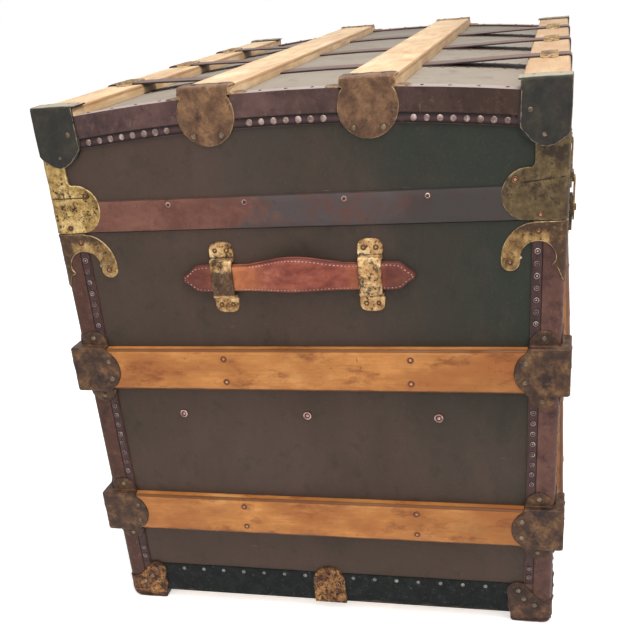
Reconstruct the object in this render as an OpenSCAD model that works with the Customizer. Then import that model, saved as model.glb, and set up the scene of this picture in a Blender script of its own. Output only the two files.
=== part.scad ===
// Flat-top steamer trunk: a canvas-covered wooden case with a hinged, slightly crowned lid.
// Length runs along X, the front faces -Y, and Z is up. The origin is on the floor under the middle.

/* [Case] */
// Length of the case over its canvas
case_l = 860; // [760:5:1000]
// Depth of the case from front to back, over its canvas
case_w = 555; // [500:5:620]
// Height of the case's underside above the floor
foot_h = 12; // [8:1:18]
// Height of the seam between base and lid above the floor
seam_z = 502; // [480:1:560]
// Height of the middle of the lid above the seam, over the canvas
lid_h = 134.5; // [115:0.5:160]
// Rise of the lid's crown from its sides to its middle
crown_rise = 18; // [12:1:24]
// Thickness of the wall, bottom and lid boards
board_t = 10; // [7:0.5:14]
// Thickness of the canvas cover
canvas_t = 1; // [0.6:0.1:1.6]
// Thickness of the inner lining
lining_t = 1; // [0.6:0.1:1.6]

/* [Fibre bindings] */
// Thickness of the fibre bindings
binding_t = 2.5; // [2:0.1:3.2]
// Width of a binding's smooth outer part
binding_w = 22; // [16:0.5:26]
// Width of the sunk strip beside it that carries the rivets
rivet_strip_w = 11; // [9:0.5:13]
// How far the rivet strip lies below the smooth part
strip_sink = 0.7; // [0.4:0.1:1]
// Outer radius of the bound corners
corner_r = 6; // [4:0.5:7]
// Width of the lid binding's smooth part, below the lid's top edge
lid_binding_w = 23; // [18:0.5:30]
// Width of the lid binding's leg on the top of the lid
top_leg_w = 20; // [14:1:26]
// Height of the fibre band round the lid's lower edge
lid_band_w = 34; // [26:1:40]
// Thickness of the band round the lid's lower edge
lid_band_t = 2; // [1.4:0.1:2.4]

/* [Wooden slats] */
// Width of the slats round the base
slat_w = 51; // [44:1:60]
// Thickness of the slats round the base
slat_t = 12; // [9:0.5:14]
// Height of the lower slat's middle above the case's underside
lower_slat_up = 130; // [110:0.5:150]
// Depth of the upper slat's middle below the seam
upper_slat_down = 161.5; // [150:0.5:180]
// Width of the lid's two middle slats
mid_slat_w = 58; // [50:1:64]
// Distance of a middle slat from the lid's centre line
mid_slat_y = 85; // [76:0.5:95]
// Height of a middle slat's top above the canvas at the centre line
mid_slat_rise = 9.5; // [8:0.5:14]
// Width of the lid's two outer slats
outer_slat_w = 47; // [40:1:52]
// Depth of an outer slat's top below a middle slat's top
outer_slat_drop = 11; // [8:0.5:14]
// Width of the runner under the bottom
runner_w = 52; // [40:1:70]

/* [Cross bands] */
// Width of the fibre bands across the lid
band_w = 38; // [28:1:46]
// Thickness of a cross band
band_t = 2; // [1.4:0.1:2.6]
// Height above the seam at which a cross band ends, front and back
band_end_up = 46; // [42:1:60]

/* [Metal fittings] */
// Thickness of the pressed sheet metal
sheet_t = 1.5; // [1:0.1:2]
// Height of the black metal binding round the bottom
bottom_band_h = 44; // [36:1:52]
// Radius of a clamp nail's head
nail_r = 3; // [2.4:0.1:3.4]
// Radius of a slat screw's head
screw_r = 4; // [3:0.1:5]
// Radius of the round end of a middle slat's clamp
lobe_r = 31; // [28:0.5:34]
// Length of a slat clamp's flap on the slat
flap_l = 28; // [20:1:36]
// Radius of the round lobe of a brass lid corner
corner_lobe_r = 26; // [22:0.5:28]
// Outer radius of the hook on a base corner
hook_r = 38; // [34:0.5:40]
// Width of the hook's arm
hook_arm_w = 20; // [16:0.5:22]

/* [Handles] */
// Length of a leather handle from tip to tip
handle_l = 264; // [240:1:280]
// Width of the handle at its loops
handle_w = 29; // [24:0.5:32]
// How far the handle's upper edge rises in the middle
handle_rise = 10; // [4:0.5:12]
// Thickness of the doubled leather
handle_t = 6.5; // [5:0.5:8]
// How far the middle of the handle bows out
handle_bow = 12; // [8:0.5:18]
// Depth of the handle's centre line below the seam
handle_down = 54; // [46:1:60]
// Distance from one loop to the other, middle to middle
loop_span = 167; // [150:1:172]
// How far the handles sit behind the middle of the ends
handle_back = 5; // [0:1:10]
// Width of a handle loop
loop_w = 27; // [20:1:30]
// Overall height of a handle loop
loop_h = 80; // [72:1:86]

/* [Hinges and locks] */
// Radius of the lid hinge pins
pin_r = 2; // [1.6:0.1:2.4]
// Outer radius of the hinge knuckles
knuckle_r = 4.5; // [4:0.1:5]
// Running clearance between a pin and its knuckle
pin_fit = 0.06; // [0.03:0.01:0.09]
// Length of one hinge knuckle
knuckle_l = 16; // [12:1:20]
// Distance of the outer lid hinges from the case's ends
hinge_in = 130; // [110:5:190]
// Distance of the draw bolts from the case's ends
bolt_in = 180; // [150:5:300]
// Running gap between moving pieces
gap = 0.4; // [0.3:0.05:0.6]

/* [Hidden] */
$fn = 48;
CROWN_FN = 256;

// Half sizes of the case over its canvas, and the main heights
hx = case_l / 2;
hy = case_w / 2;
case_bottom = foot_h;
crown_top = seam_z + lid_h;
crown_r = (hy * hy + crown_rise * crown_rise) / (2 * crown_rise);
lower_slat_z = case_bottom + lower_slat_up;
upper_slat_z = seam_z - upper_slat_down;
slat_heights = [lower_slat_z, upper_slat_z];
mid_slat_top = crown_top + mid_slat_rise;
outer_slat_top = mid_slat_top - outer_slat_drop;
wall_in = canvas_t + board_t;
far = 40;

// Layers outward from the canvas
plate_off = binding_t + sheet_t;
clamp_off = slat_t + sheet_t;
binding_leg = binding_w + rivet_strip_w;
strip_off = binding_t - strip_sink;
lid_binding_h = lid_binding_w + rivet_strip_w;

// A slat clamp is a little taller than the slat, with a half-round ear above and below
clamp_half_h = slat_w / 2 + sheet_t + 0.5;
clamp_box_w = 35;
clamp_nose_w = 14;
ear_r = 16;
ear_h = 18;

// Fastener heads
nail_h = 1.4;
screw_h = 1;
rivet_r = 3.4;
rivet_h = 1.5;
panel_rivet_r = 5.5;
panel_rivet_h = 1.8;
band_screw_r = 3;
tack_r = 2.4;
tack_h = 1.1;

// Outlines of the corner plates, measured from the outer face of the corner binding
lobe_in = 38.5;
back_lobe_in = 31;
tongue_drop = 42.5;
clamp_tongue_z = crown_top - crown_rise - tongue_drop;
tongue_w = outer_slat_w;
tongue_nail_up = 32;
tongue_nail_side = 14;
hook_in = 27;
hook_z = seam_z - hook_r - gap;
hook_leg_l = 66;
hook_leg_z = seam_z - hook_leg_l;
tip_r = hook_arm_w / 2;
tip_drop = 3.5;
cap_w = 55;
cap_top = case_bottom + bottom_band_h + 3;
lobe_z = seam_z + gap + corner_lobe_r;
mid_lobe_z = crown_top - lobe_r + 14;
lobe_edge_x = hx + binding_t - lobe_in - corner_lobe_r;
band_xs = [-case_l / 4, 0, case_l / 4];
hinge_x = hx - hinge_in;
bolt_x = hx - bolt_in;
hinge_xs = [-hinge_x, 0, hinge_x];
axis_off = lid_band_t + knuckle_r + gap;

// The handles and their loops
handle_z = seam_z - handle_down;
strap_off = 1;
bridge_in = strap_off + handle_t + gap;
bridge_half_h = handle_w / 2 + 5;
loop_half = loop_span / 2;
bow_end = loop_half - loop_w / 2;

// The lock and draw bolts share one pivot line on the lid
pivot_up = 9;
pivot_off = 8;
small_knuckle_r = 3.2;
small_pin_r = 1.4;
tail_off = 11;
tail_t = 2;
hasp_w = 34;
hasp_len = 66;
bolt_w = 24;
bolt_len = 52;
staple_t = 5;
staple_down = 36;
stud_r = 4;
stud_z = -30;
hasp_plate_h = 20;
bolt_plate_h = 18;
keeper_plate_w = 40;
keeper_plate_top = -16;
keeper_plate_h = 50;
keeper_block_w = 28;
keeper_block_h = 38;

// Height of a layer of the lid above the floor at a distance from the centre line
function crown_z(y, off = 0) = crown_top - crown_r + sqrt(pow(crown_r + off, 2) - y * y);

// Frames of the four faces: across the face, up, and outward from the canvas
module on_front() { translate([0, -hy, 0]) rotate([90, 0, 0]) children(); }
module on_back() { mirror([0, 1, 0]) on_front() children(); }
module on_right() { translate([hx, 0, 0]) rotate([90, 0, 90]) children(); }
module on_left() { mirror([1, 0, 0]) on_right() children(); }
module on_ends() { on_left() children(); on_right() children(); }
module on_sides() { on_front() children(); on_back() children(); }
module corners() {
    for (sx = [0, 1], sy = [0, 1]) mirror([sx, 0, 0]) mirror([0, sy, 0]) children();
}

// A flat plate between two distances from the canvas, in a face's frame
module plate(off0, off1) { translate([0, 0, off0]) linear_extrude(off1 - off0) children(); }

// A box from its lowest to its highest corner
module span(lo, hi) { translate(lo) cube(hi - lo); }

// The case as a solid block over its canvas
module case_block(grow = 0) {
    span([-hx - grow, -hy - grow, case_bottom], [hx + grow, hy + grow, seam_z + lid_h + far]);
}

// A raised fastener head, in a face's frame
module head(x, z, off, r, h) {
    translate([x, z, off]) cylinder(r1 = r, r2 = r * 0.6, h = h, $fn = 24);
}

// A post at the corner towards +X and +Y, standing out from the canvas, with a rounded edge
module corner_post(off, r, reach, z0, z1) {
    side = reach + off;
    translate([hx - reach, hy - reach, z0]) linear_extrude(z1 - z0) {
        square([side - r, side]);
        square([side, side - r]);
        translate([side - r, side - r]) circle(r);
    }
}

// An outline on both faces of that corner; its x is measured inward from the binding's outer face
module both_faces() {
    translate([hx, 0, 0]) rotate([90, 0, 90]) linear_extrude(far)
        translate([hy + binding_t, 0]) mirror([1, 0]) children();
    translate([0, hy, 0]) mirror([0, 1, 0]) rotate([90, 0, 0]) linear_extrude(far)
        translate([hx + binding_t, 0]) mirror([1, 0]) children();
}

// The solid under a layer of the crowned lid
module crown_solid(off, grow, r, z0) {
    intersection() {
        translate([0, 0, z0]) linear_extrude(crown_top + far - z0)
            rounded_rect(case_l + 2 * grow, case_w + 2 * grow, r);
        translate([0, 0, crown_top - crown_r]) rotate([0, 90, 0])
            cylinder(r = crown_r + off, h = case_l + 2 * far, center = true, $fn = CROWN_FN);
    }
}

module rounded_rect(l, w, r) {
    if (r > 0) {
        square([l - 2 * r, w], center = true);
        square([l, w - 2 * r], center = true);
        for (sx = [-1, 1], sy = [-1, 1]) translate([sx * (l / 2 - r), sy * (w / 2 - r)]) circle(r);
    } else square([l, w], center = true);
}

// Base boards
module end_board(z0, z1) {
    x0 = hx - wall_in;
    span([x0, -hy + canvas_t, z0], [x0 + board_t, hy - canvas_t, z1]);
}

module side_board(z0, z1) {
    y0 = hy - wall_in;
    span([-hx + wall_in, y0, z0], [hx - wall_in, y0 + board_t, z1]);
}

module bottom_board() {
    color("BurlyWood")
        span([-hx + canvas_t, -hy + canvas_t, case_bottom],
            [hx - canvas_t, hy - canvas_t, case_bottom + board_t]);
}

module right_board() { color("BurlyWood") end_board(case_bottom + board_t, seam_z); }
module left_board() { mirror([1, 0, 0]) right_board(); }
module back_board() { color("BurlyWood") side_board(case_bottom + board_t, seam_z); }
module front_board() { mirror([0, 1, 0]) back_board(); }

module base_canvas() {
    color("#46463c") difference() {
        span([-hx, -hy, case_bottom], [hx, hy, seam_z]);
        span([-hx + canvas_t, -hy + canvas_t, case_bottom - 1], [hx - canvas_t, hy - canvas_t, seam_z + 1]);
    }
}

module base_lining() {
    floor_z = case_bottom + board_t;
    inner = wall_in + lining_t;
    color("#b9a98a") difference() {
        span([-hx + wall_in, -hy + wall_in, floor_z], [hx - wall_in, hy - wall_in, seam_z]);
        span([-hx + inner, -hy + inner, floor_z + lining_t], [hx - inner, hy - inner, seam_z + 1]);
    }
}

// Fibre angle on a vertical corner of the base, with its sunk rivet strips
module vertical_binding() {
    sink = 1.2;
    difference() {
        corner_post(binding_t, corner_r, binding_leg - binding_t, case_bottom, seam_z);
        case_block();
        both_faces_recess(binding_w, binding_leg + 1, strip_off);
        both_faces_recess(binding_w, binding_w + sink, strip_off - strip_sink);
    }
}

// A shallow channel down both faces of the corner, between two distances from the binding's face
module both_faces_recess(u0, u1, off) {
    span([hx + off, hy + binding_t - u1, case_bottom - 1], [hx + far, hy + binding_t - u0, seam_z + 1]);
    span([hx + binding_t - u1, hy + off, case_bottom - 1], [hx + binding_t - u0, hy + far, seam_z + 1]);
}

module vertical_bindings() { color("#6a4b42") corners() vertical_binding(); }

// Black sheet metal round the bottom, between the fibre corners
module bottom_band_strip(half) {
    inner = half + binding_t - binding_leg;
    plate(0, sheet_t) translate([-inner, case_bottom]) square([2 * inner, bottom_band_h]);
}

module bottom_bindings() {
    color("#23282a") {
        on_ends() bottom_band_strip(hy);
        on_sides() bottom_band_strip(hx);
    }
}

shoe_r = 21;

// Pressed metal cap on a bottom corner: a lobed plate on each face, and the foot it stands on
module cap_outline() {
    lobe = 13;
    translate([-far, 0]) square([far + cap_w - 6, case_bottom + 16]);
    translate([cap_w - 6, 0]) square([6, case_bottom + 10]);
    translate([-far, case_bottom]) square([far + 8, 24]);
    translate([cap_w - lobe - 2, cap_top - lobe]) circle(lobe);
    polygon([[0, case_bottom + 24], [8, case_bottom + 22], [22, case_bottom + 24], [cap_w - lobe - 12, cap_top - 6],
        [cap_w - lobe, cap_top], [cap_w - 3, cap_top - lobe], [cap_w - 4, case_bottom + 12], [0, case_bottom + 12]]);
}

module bottom_corner_cap() {
    edge = corner_r + sheet_t;
    difference() {
        union() {
            intersection() {
                corner_post(plate_off, edge, cap_w, 0, cap_top + 1);
                both_faces() cap_outline();
            }
            corner_post(binding_t - 1, corner_r, cap_w - 8, 0, case_bottom);
        }
        case_block();
        vertical_binding();
        on_right() bottom_band_strip(hy);
        on_back() bottom_band_strip(hx);
    }
}

module bottom_corner_caps() { color("#6b5a48") corners() bottom_corner_cap(); }

module bottom_cap_nails() {
    spots = [[cap_w - 15, cap_top - 11], [cap_w - 22, case_bottom + 24], [20, case_bottom + 15]];
    color("#8a7a60") {
        on_ends() for (s = [-1, 1], p = spots) head(s * (hy + binding_t - p[0]), p[1], plate_off, nail_r, nail_h);
        on_sides() for (s = [-1, 1], p = spots) head(s * (hx + binding_t - p[0]), p[1], plate_off, nail_r, nail_h);
    }
}

// Wooden runner under the bottom and the brass shoes at its ends
runner_in = 32;
module bottom_runner() {
    color("#b98a55")
        span([-hx + runner_in, -runner_w / 2, 0], [hx - runner_in, runner_w / 2, case_bottom]);
}

module runner_end_clamps() {
    rise = bottom_band_h + 9 - shoe_r;
    color("#a88f4e") on_ends() {
        difference() {
            plate(0, sheet_t * 2) {
                translate([-shoe_r, case_bottom]) square([2 * shoe_r, rise]);
                translate([0, case_bottom + rise]) circle(shoe_r);
            }
            plate(-1, sheet_t) translate([-far, 0]) square([2 * far, case_bottom + bottom_band_h]);
        }
        translate([0, 0, -runner_in]) plate(0, runner_in + sheet_t * 2)
            translate([-shoe_r, case_bottom - sheet_t]) square([2 * shoe_r, sheet_t]);
        for (s = [-1, 1]) head(s * 11, case_bottom + 28, sheet_t * 2, nail_r, nail_h);
    }
}

// Slats round the base
module slat_bar(z, half) {
    plate(0, slat_t) translate([-half, z - slat_w / 2]) square([2 * half, slat_w]);
}

module end_slats() {
    color("#c98b4b") difference() {
        on_ends() for (z = slat_heights) slat_bar(z, hy + binding_t);
        corners() corner_post(binding_t, corner_r, binding_leg - binding_t, case_bottom, seam_z);
    }
}

module side_slats() {
    color("#c98b4b") difference() {
        on_front() for (z = slat_heights) slat_bar(z, hx + slat_t);
        corners() corner_post(binding_t, corner_r, binding_leg - binding_t, case_bottom, seam_z);
        span([hx - 1, -hy - binding_t, case_bottom], [hx + far, 0, seam_z]);
        span([-hx - far, -hy - binding_t, case_bottom], [-hx + 1, 0, seam_z]);
    }
}

module front_slats() { side_slats(); }
module back_slats() { mirror([0, 1, 0]) side_slats(); }

module slat_screws() {
    screw_ys = [-0.214 * case_w, 0.178 * case_w];
    screw_xs = [-case_l / 3, -case_l / 9, case_l / 9, case_l / 3];
    dz = slat_w * 0.28;
    color("#8a6a48") {
        on_ends() for (z = slat_heights, y = screw_ys, d = [-dz, dz])
            head(y, z + d, slat_t, screw_r, screw_h);
        on_sides() for (z = slat_heights, x = screw_xs, d = [-dz, dz])
            head(x, z + d, slat_t, screw_r, screw_h);
    }
}

// Clamp that boxes the meeting slats at a corner, with a round nose and two ears
module clamp_outline(z) {
    translate([-far, z - clamp_half_h]) square([far + clamp_box_w, 2 * clamp_half_h]);
    intersection() {
        translate([clamp_box_w + clamp_nose_w - clamp_half_h, z]) circle(clamp_half_h);
        translate([clamp_box_w - 1, z - clamp_half_h]) square([far, 2 * clamp_half_h]);
    }
}

module ear_outline(z) {
    mid = clamp_box_w - ear_r - 1;
    for (s = [-1, 1]) translate([mid, z + s * (clamp_half_h + ear_h - ear_r)]) circle(ear_r);
    translate([mid - ear_r, z - clamp_half_h - ear_h + ear_r])
        square([2 * ear_r, 2 * (clamp_half_h + ear_h - ear_r)]);
}

module slat_corner_clamp(z) {
    reach = clamp_box_w + clamp_nose_w + 2;
    z0 = z - clamp_half_h - ear_h - 1;
    z1 = z + clamp_half_h + ear_h + 1;
    difference() {
        union() {
            intersection() {
                corner_post(clamp_off, 3, reach, z0, z1);
                both_faces() clamp_outline(z);
            }
            intersection() {
                corner_post(plate_off, corner_r + sheet_t, reach, z0, z1);
                both_faces() ear_outline(z);
            }
        }
        case_block();
        corner_post(binding_t, corner_r, binding_leg - binding_t, case_bottom, seam_z);
        span([hx - far * 2, hy - far * 2, z - slat_w / 2], [hx + slat_t, hy + slat_t, z + slat_w / 2]);
    }
}

module slat_corner_clamps() {
    color("#5d4c3e") for (z = slat_heights) corners() slat_corner_clamp(z);
}

module slat_clamp_nails() {
    mid = clamp_box_w - ear_r - 1;
    nose = clamp_box_w + 2;
    ear_up = clamp_half_h + ear_h / 2;
    module nails(half) {
        for (z = slat_heights, s = [-1, 1], d = [-1, 1]) {
            head(s * (half + binding_t - nose), z + d * 11, clamp_off, nail_r, nail_h);
            head(s * (half + binding_t - mid), z + d * ear_up, plate_off, nail_r, nail_h);
        }
    }
    color("#9a8468") {
        on_ends() nails(hy);
        on_sides() nails(hx);
    }
}

// Hooked brass corner on the base, just under the seam
module hook_outline() {
    inner_r = hook_r - hook_arm_w;
    tip_in = hook_in + inner_r + tip_r;
    difference() {
        union() {
            translate([hook_in, hook_z]) circle(hook_r);
            translate([-far, hook_leg_z]) square([far + hook_in, seam_z - gap - hook_leg_z]);
        }
        translate([hook_in, hook_z]) circle(inner_r);
        translate([hook_in - inner_r, hook_leg_z - far]) square([2 * hook_r, hook_z - hook_leg_z + far]);
    }
    hull() for (z = [0, -tip_drop]) translate([tip_in, hook_z + z]) circle(tip_r);
}

module hook_corner() {
    difference() {
        intersection() {
            corner_post(plate_off, corner_r + sheet_t, hook_in + hook_r + 4, hook_leg_z - 1, seam_z - gap);
            both_faces() hook_outline();
        }
        case_block();
        vertical_binding();
    }
}

module hook_corners() { color("#a08a4c") corners() hook_corner(); }

module hook_rivets() {
    mid_r = hook_r - hook_arm_w / 2;
    spots = [[hook_in, hook_z + mid_r], [hook_in + mid_r, hook_z - tip_drop]];
    color("#b7814f") {
        on_ends() for (s = [-1, 1], p = spots) head(s * (hy + binding_t - p[0]), p[1], plate_off, rivet_r, rivet_h);
        on_sides() for (s = [-1, 1], p = spots) head(s * (hx + binding_t - p[0]), p[1], plate_off, rivet_r, rivet_h);
    }
}

// Brass loops that hold a handle: two flat feet and a raised bridge
module handle_loop() {
    foot_t = 2;
    rise = bridge_in + foot_t;
    half = loop_h / 2;
    toe = 7;
    color("#b79f5a") intersection() {
        translate([0, 0, -1]) linear_extrude(far) {
            square([loop_w, loop_h - 2 * toe], center = true);
            for (s = [-1, 1]) intersection() {
                translate([0, s * (half - loop_w * 0.6)]) circle(loop_w * 0.6);
                square([loop_w, loop_h], center = true);
            }
        }
        union() {
            for (s = [-1, 1]) {
                translate([0, s * (half + bridge_half_h) / 2, foot_t / 2])
                    cube([loop_w, half - bridge_half_h, foot_t], center = true);
                translate([0, s * (bridge_half_h + foot_t / 2), rise / 2])
                    cube([loop_w, foot_t, rise], center = true);
            }
            translate([0, 0, rise - foot_t / 2])
                cube([loop_w, 2 * bridge_half_h + foot_t, foot_t], center = true);
        }
    }
}

module right_handle_loops() {
    on_right() for (s = [-1, 1]) translate([handle_back + s * loop_half, handle_z, 0]) handle_loop();
}

module left_handle_loops() { mirror([1, 0, 0]) right_handle_loops(); }

module handle_loop_rivets() {
    foot_t = 2;
    up = (loop_h / 2 + bridge_half_h + foot_t) / 2;
    color("#b7814f") on_ends() for (s = [-1, 1], d = [-1, 1], e = [-1, 1])
        head(handle_back + s * loop_half + e * loop_w / 4, handle_z + d * up, foot_t, nail_r, nail_h);
}

module panel_rivets() {
    rivet_z = (lower_slat_z + upper_slat_z) / 2 + 38;
    color("#b07a5c") {
        on_ends() for (y = [-1, 0, 1]) head((y * 0.28 + 0.015) * case_w, rivet_z, 0, panel_rivet_r, panel_rivet_h);
        on_sides() for (x = [-1.5, -0.5, 0.5, 1.5]) head(x * case_l * 0.22, rivet_z, 0, panel_rivet_r, panel_rivet_h);
    }
}

// Stitched leather handle: a spade-ended strap that bows out between its loops
function bow_at(y) = abs(y) < bow_end ? handle_bow * pow(cos(90 * y / bow_end), 2) : 0;
function rise_at(y) = abs(y) < bow_end ? handle_rise * pow(cos(90 * y / bow_end), 2) : 0;
STRAP_STEPS = 24;
strap_ys = [for (k = [0 : STRAP_STEPS]) -bow_end + 2 * bow_end * k / STRAP_STEPS];

module handle_strap() {
    tip = handle_l / 2;
    shoulder = tip - handle_w / 2;
    half_w = handle_w / 2;
    outline = concat([[-tip, 0], [-shoulder, half_w]], [for (y = strap_ys) [y, half_w + rise_at(y)]],
        [[shoulder, half_w], [tip, 0], [shoulder, -half_w], [-shoulder, -half_w]]);
    inner = [for (y = strap_ys) [y, strap_off + bow_at(y)]];
    outer = [for (k = [STRAP_STEPS : -1 : 0]) [strap_ys[k], strap_off + handle_t + bow_at(strap_ys[k])]];
    side_view = concat([[-tip, strap_off]], inner, [[tip, strap_off], [tip, strap_off + handle_t]], outer,
        [[-tip, strap_off + handle_t]]);
    color("#8e4a38") intersection() {
        translate([0, 0, -1]) linear_extrude(far) polygon(outline);
        translate([0, far, 0]) rotate([90, 0, 0]) linear_extrude(2 * far) polygon(side_view);
    }
}

module right_handle() { on_right() translate([handle_back, handle_z, 0]) handle_strap(); }
module left_handle() { mirror([1, 0, 0]) right_handle(); }

// Lid hinges on the back: knuckles round a pin, on leaves screwed to base and lid
module knuckle(x, len, r, bore) {
    rotate([0, 90, 0]) difference() {
        translate([0, 0, x - len / 2]) cylinder(r = r, h = len);
        translate([0, 0, x - len / 2 - 1]) cylinder(r = bore, h = len + 2);
    }
}

hinge_pitch = knuckle_l + gap;
hinge_len = 3 * knuckle_l + 2 * gap;
leaf_h = 40;
module hinge_base_leaf() {
    leaf_top = -knuckle_r - 2 * gap;
    color("#4a4038") difference() {
        union() {
            translate([-hinge_len / 2, -leaf_h, 0]) cube([hinge_len, leaf_h + leaf_top, 2]);
            for (s = [-1, 1]) translate([s * hinge_pitch - knuckle_l / 2, leaf_top - 4, 0])
                cube([knuckle_l, 4 - leaf_top, axis_off]);
            for (s = [-1, 1]) translate([s * hinge_pitch, 0, axis_off])
                rotate([0, 90, 0]) cylinder(r = knuckle_r, h = knuckle_l, center = true);
        }
        translate([0, 0, axis_off]) rotate([0, 90, 0]) cylinder(r = pin_r, h = hinge_len + 2, center = true);
    }
}

module hinge_lid_leaf() {
    leaf_bottom = knuckle_r + 2 * gap;
    color("#4a4038") difference() {
        union() {
            translate([-hinge_len / 2, leaf_bottom, lid_band_t]) cube([hinge_len, leaf_h - leaf_bottom - 6, 2]);
            translate([-knuckle_l / 2, 0, lid_band_t + gap])
                cube([knuckle_l, leaf_bottom + 4, axis_off - lid_band_t - gap]);
            translate([-knuckle_l / 2, leaf_bottom, lid_band_t]) cube([knuckle_l, 4, 2]);
            translate([0, 0, axis_off]) rotate([0, 90, 0])
                cylinder(r = knuckle_r, h = knuckle_l, center = true);
        }
        translate([0, 0, axis_off]) rotate([0, 90, 0])
            cylinder(r = pin_r + pin_fit, h = hinge_len + 2, center = true);
    }
}

module at_hinges() { on_back() for (x = hinge_xs) translate([x, seam_z, 0]) children(); }
module hinge_base_leaves() { at_hinges() hinge_base_leaf(); }
module hinge_lid_leaves() { at_hinges() hinge_lid_leaf(); }

module hinge_pins() {
    color("#3c3630") at_hinges() translate([0, 0, axis_off]) rotate([0, 90, 0])
        cylinder(r = pin_r, h = hinge_len, center = true);
}

// Lid boards, canvas and lining
rim_top_off = -canvas_t - board_t;
module lid_boards_cut() {
    intersection() {
        crown_solid(rim_top_off, 0, 0, seam_z);
        children();
    }
}

module lid_top_board() {
    color("BurlyWood") difference() {
        intersection() {
            crown_solid(-canvas_t, 0, 0, seam_z + far);
            span([-hx + canvas_t, -hy + canvas_t, seam_z], [hx - canvas_t, hy - canvas_t, crown_top]);
        }
        crown_solid(rim_top_off, far / 2, 0, seam_z);
    }
}

module lid_right_board() { color("BurlyWood") lid_boards_cut() end_board(seam_z, crown_top); }
module lid_left_board() { mirror([1, 0, 0]) lid_right_board(); }
module lid_back_board() { color("BurlyWood") lid_boards_cut() side_board(seam_z, crown_top); }
module lid_front_board() { mirror([0, 1, 0]) lid_back_board(); }

module lid_canvas() {
    color("#46463c") difference() {
        crown_solid(0, 0, 0, seam_z);
        intersection() {
            crown_solid(-canvas_t, 0, 0, seam_z - 1);
            span([-hx + canvas_t, -hy + canvas_t, seam_z - 1], [hx - canvas_t, hy - canvas_t, crown_top]);
        }
    }
}

module lid_lining() {
    inner = wall_in + lining_t;
    color("#b9a98a") difference() {
        intersection() {
            crown_solid(rim_top_off, 0, 0, seam_z);
            span([-hx + wall_in, -hy + wall_in, seam_z], [hx - wall_in, hy - wall_in, crown_top]);
        }
        intersection() {
            crown_solid(rim_top_off - lining_t, 0, 0, seam_z - 1);
            span([-hx + inner, -hy + inner, seam_z - 1], [hx - inner, hy - inner, crown_top]);
        }
    }
}

// Fibre binding round the lid's top edge: the two ends wrap the corners, front and back lie between
lid_strip_up = lid_binding_h - binding_t;
module lid_binding_shell() {
    difference() {
        crown_solid(binding_t, binding_t, corner_r, seam_z + lid_h / 4);
        crown_solid(0, 0, 0, seam_z);
        crown_solid(-lid_strip_up, far / 2, 0, seam_z);
    }
}

// The sunk rivet strip along the binding's lower edge
module lid_strip_recess() {
    difference() {
        crown_solid(binding_t - lid_binding_w, far / 2, 0, seam_z);
        crown_solid(far / 2, strip_off, corner_r - strip_sink, seam_z - 1);
    }
}

module lid_edge_bindings() {
    seam_x = hx - top_leg_w;
    seam_y = hy - top_leg_w;
    z1 = crown_top + far;
    color("#6a4b46") difference() {
        lid_binding_shell();
        lid_strip_recess();
        for (s = [-1, 1]) span([s * seam_x - gap, -hy - far, seam_z], [s * seam_x + gap, hy + far, z1]);
        span([-seam_x - 1, -seam_y, seam_z], [seam_x + 1, seam_y, z1]);
    }
}

// Fibre band round the lid's lower edge
band_z0 = seam_z + gap;
module lid_lower_band(half) {
    plate(0, lid_band_t) translate([-half, band_z0]) square([2 * half, lid_band_w]);
}

module lid_lower_bands() {
    color("#6e5048") {
        on_ends() lid_lower_band(hy + lid_band_t);
        on_sides() lid_lower_band(hx);
    }
}

module lid_band_screws() {
    screw_z = band_z0 + lid_band_w - 6;
    front_xs = [bolt_x / 2, (bolt_x + bolt_w / 2 + lobe_edge_x) / 2];
    back_xs = [hinge_x / 2, (hinge_x + hinge_len / 2 + lobe_edge_x) / 2];
    color("#7a6558") {
        on_ends() for (y = [-0.255, -0.098, 0.098, 0.255]) head(y * case_w, screw_z, lid_band_t, band_screw_r, screw_h);
        on_front() for (x = front_xs, s = [-1, 1]) head(s * x, screw_z, lid_band_t, band_screw_r, screw_h);
        on_back() for (x = back_xs, s = [-1, 1]) head(s * x, screw_z, lid_band_t, band_screw_r, screw_h);
    }
}

// Lengthwise slats on the lid, seated on the canvas and on the edge bindings
module lid_slat(y, w, top) {
    difference() {
        span([-hx - binding_t, y - w / 2, seam_z + lid_h / 2], [hx + binding_t, y + w / 2, top]);
        crown_solid(0, far, 0, seam_z);
        crown_end_leg();
        mirror([1, 0, 0]) crown_end_leg();
        children();
    }
}

// The space of the binding's top leg at the end towards +X
module crown_end_leg() {
    intersection() {
        crown_solid(binding_t, far, 0, seam_z);
        span([hx - top_leg_w - gap, -hy - far, seam_z], [hx + far, hy + far, crown_top + far]);
    }
}

module lid_middle_slats() {
    color("#e0bd86") for (s = [-1, 1]) lid_slat(s * mid_slat_y, mid_slat_w, mid_slat_top)
        for (x = band_xs) band_tunnel(x);
}

// The notch in a middle slat's underside that a cross band passes through
module band_tunnel(x) {
    intersection() {
        crown_solid(band_t + gap / 2, far / 2, 0, seam_z);
        span([x - band_w / 2 - gap, -hy, seam_z], [x + band_w / 2 + gap, hy, crown_top + far]);
    }
}

outer_slat_y = hy + binding_t - outer_slat_w / 2;
module lid_outer_slats() {
    color("#e0bd86") for (s = [-1, 1]) lid_slat(s * outer_slat_y, outer_slat_w, outer_slat_top)
        intersection() {
            crown_solid(binding_t, far, 0, seam_z);
            union() for (t = [0, 1]) mirror([0, t, 0])
                span([-hx - far, hy - top_leg_w - gap, seam_z], [hx + far, hy + far, crown_top + far]);
        }
}

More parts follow.
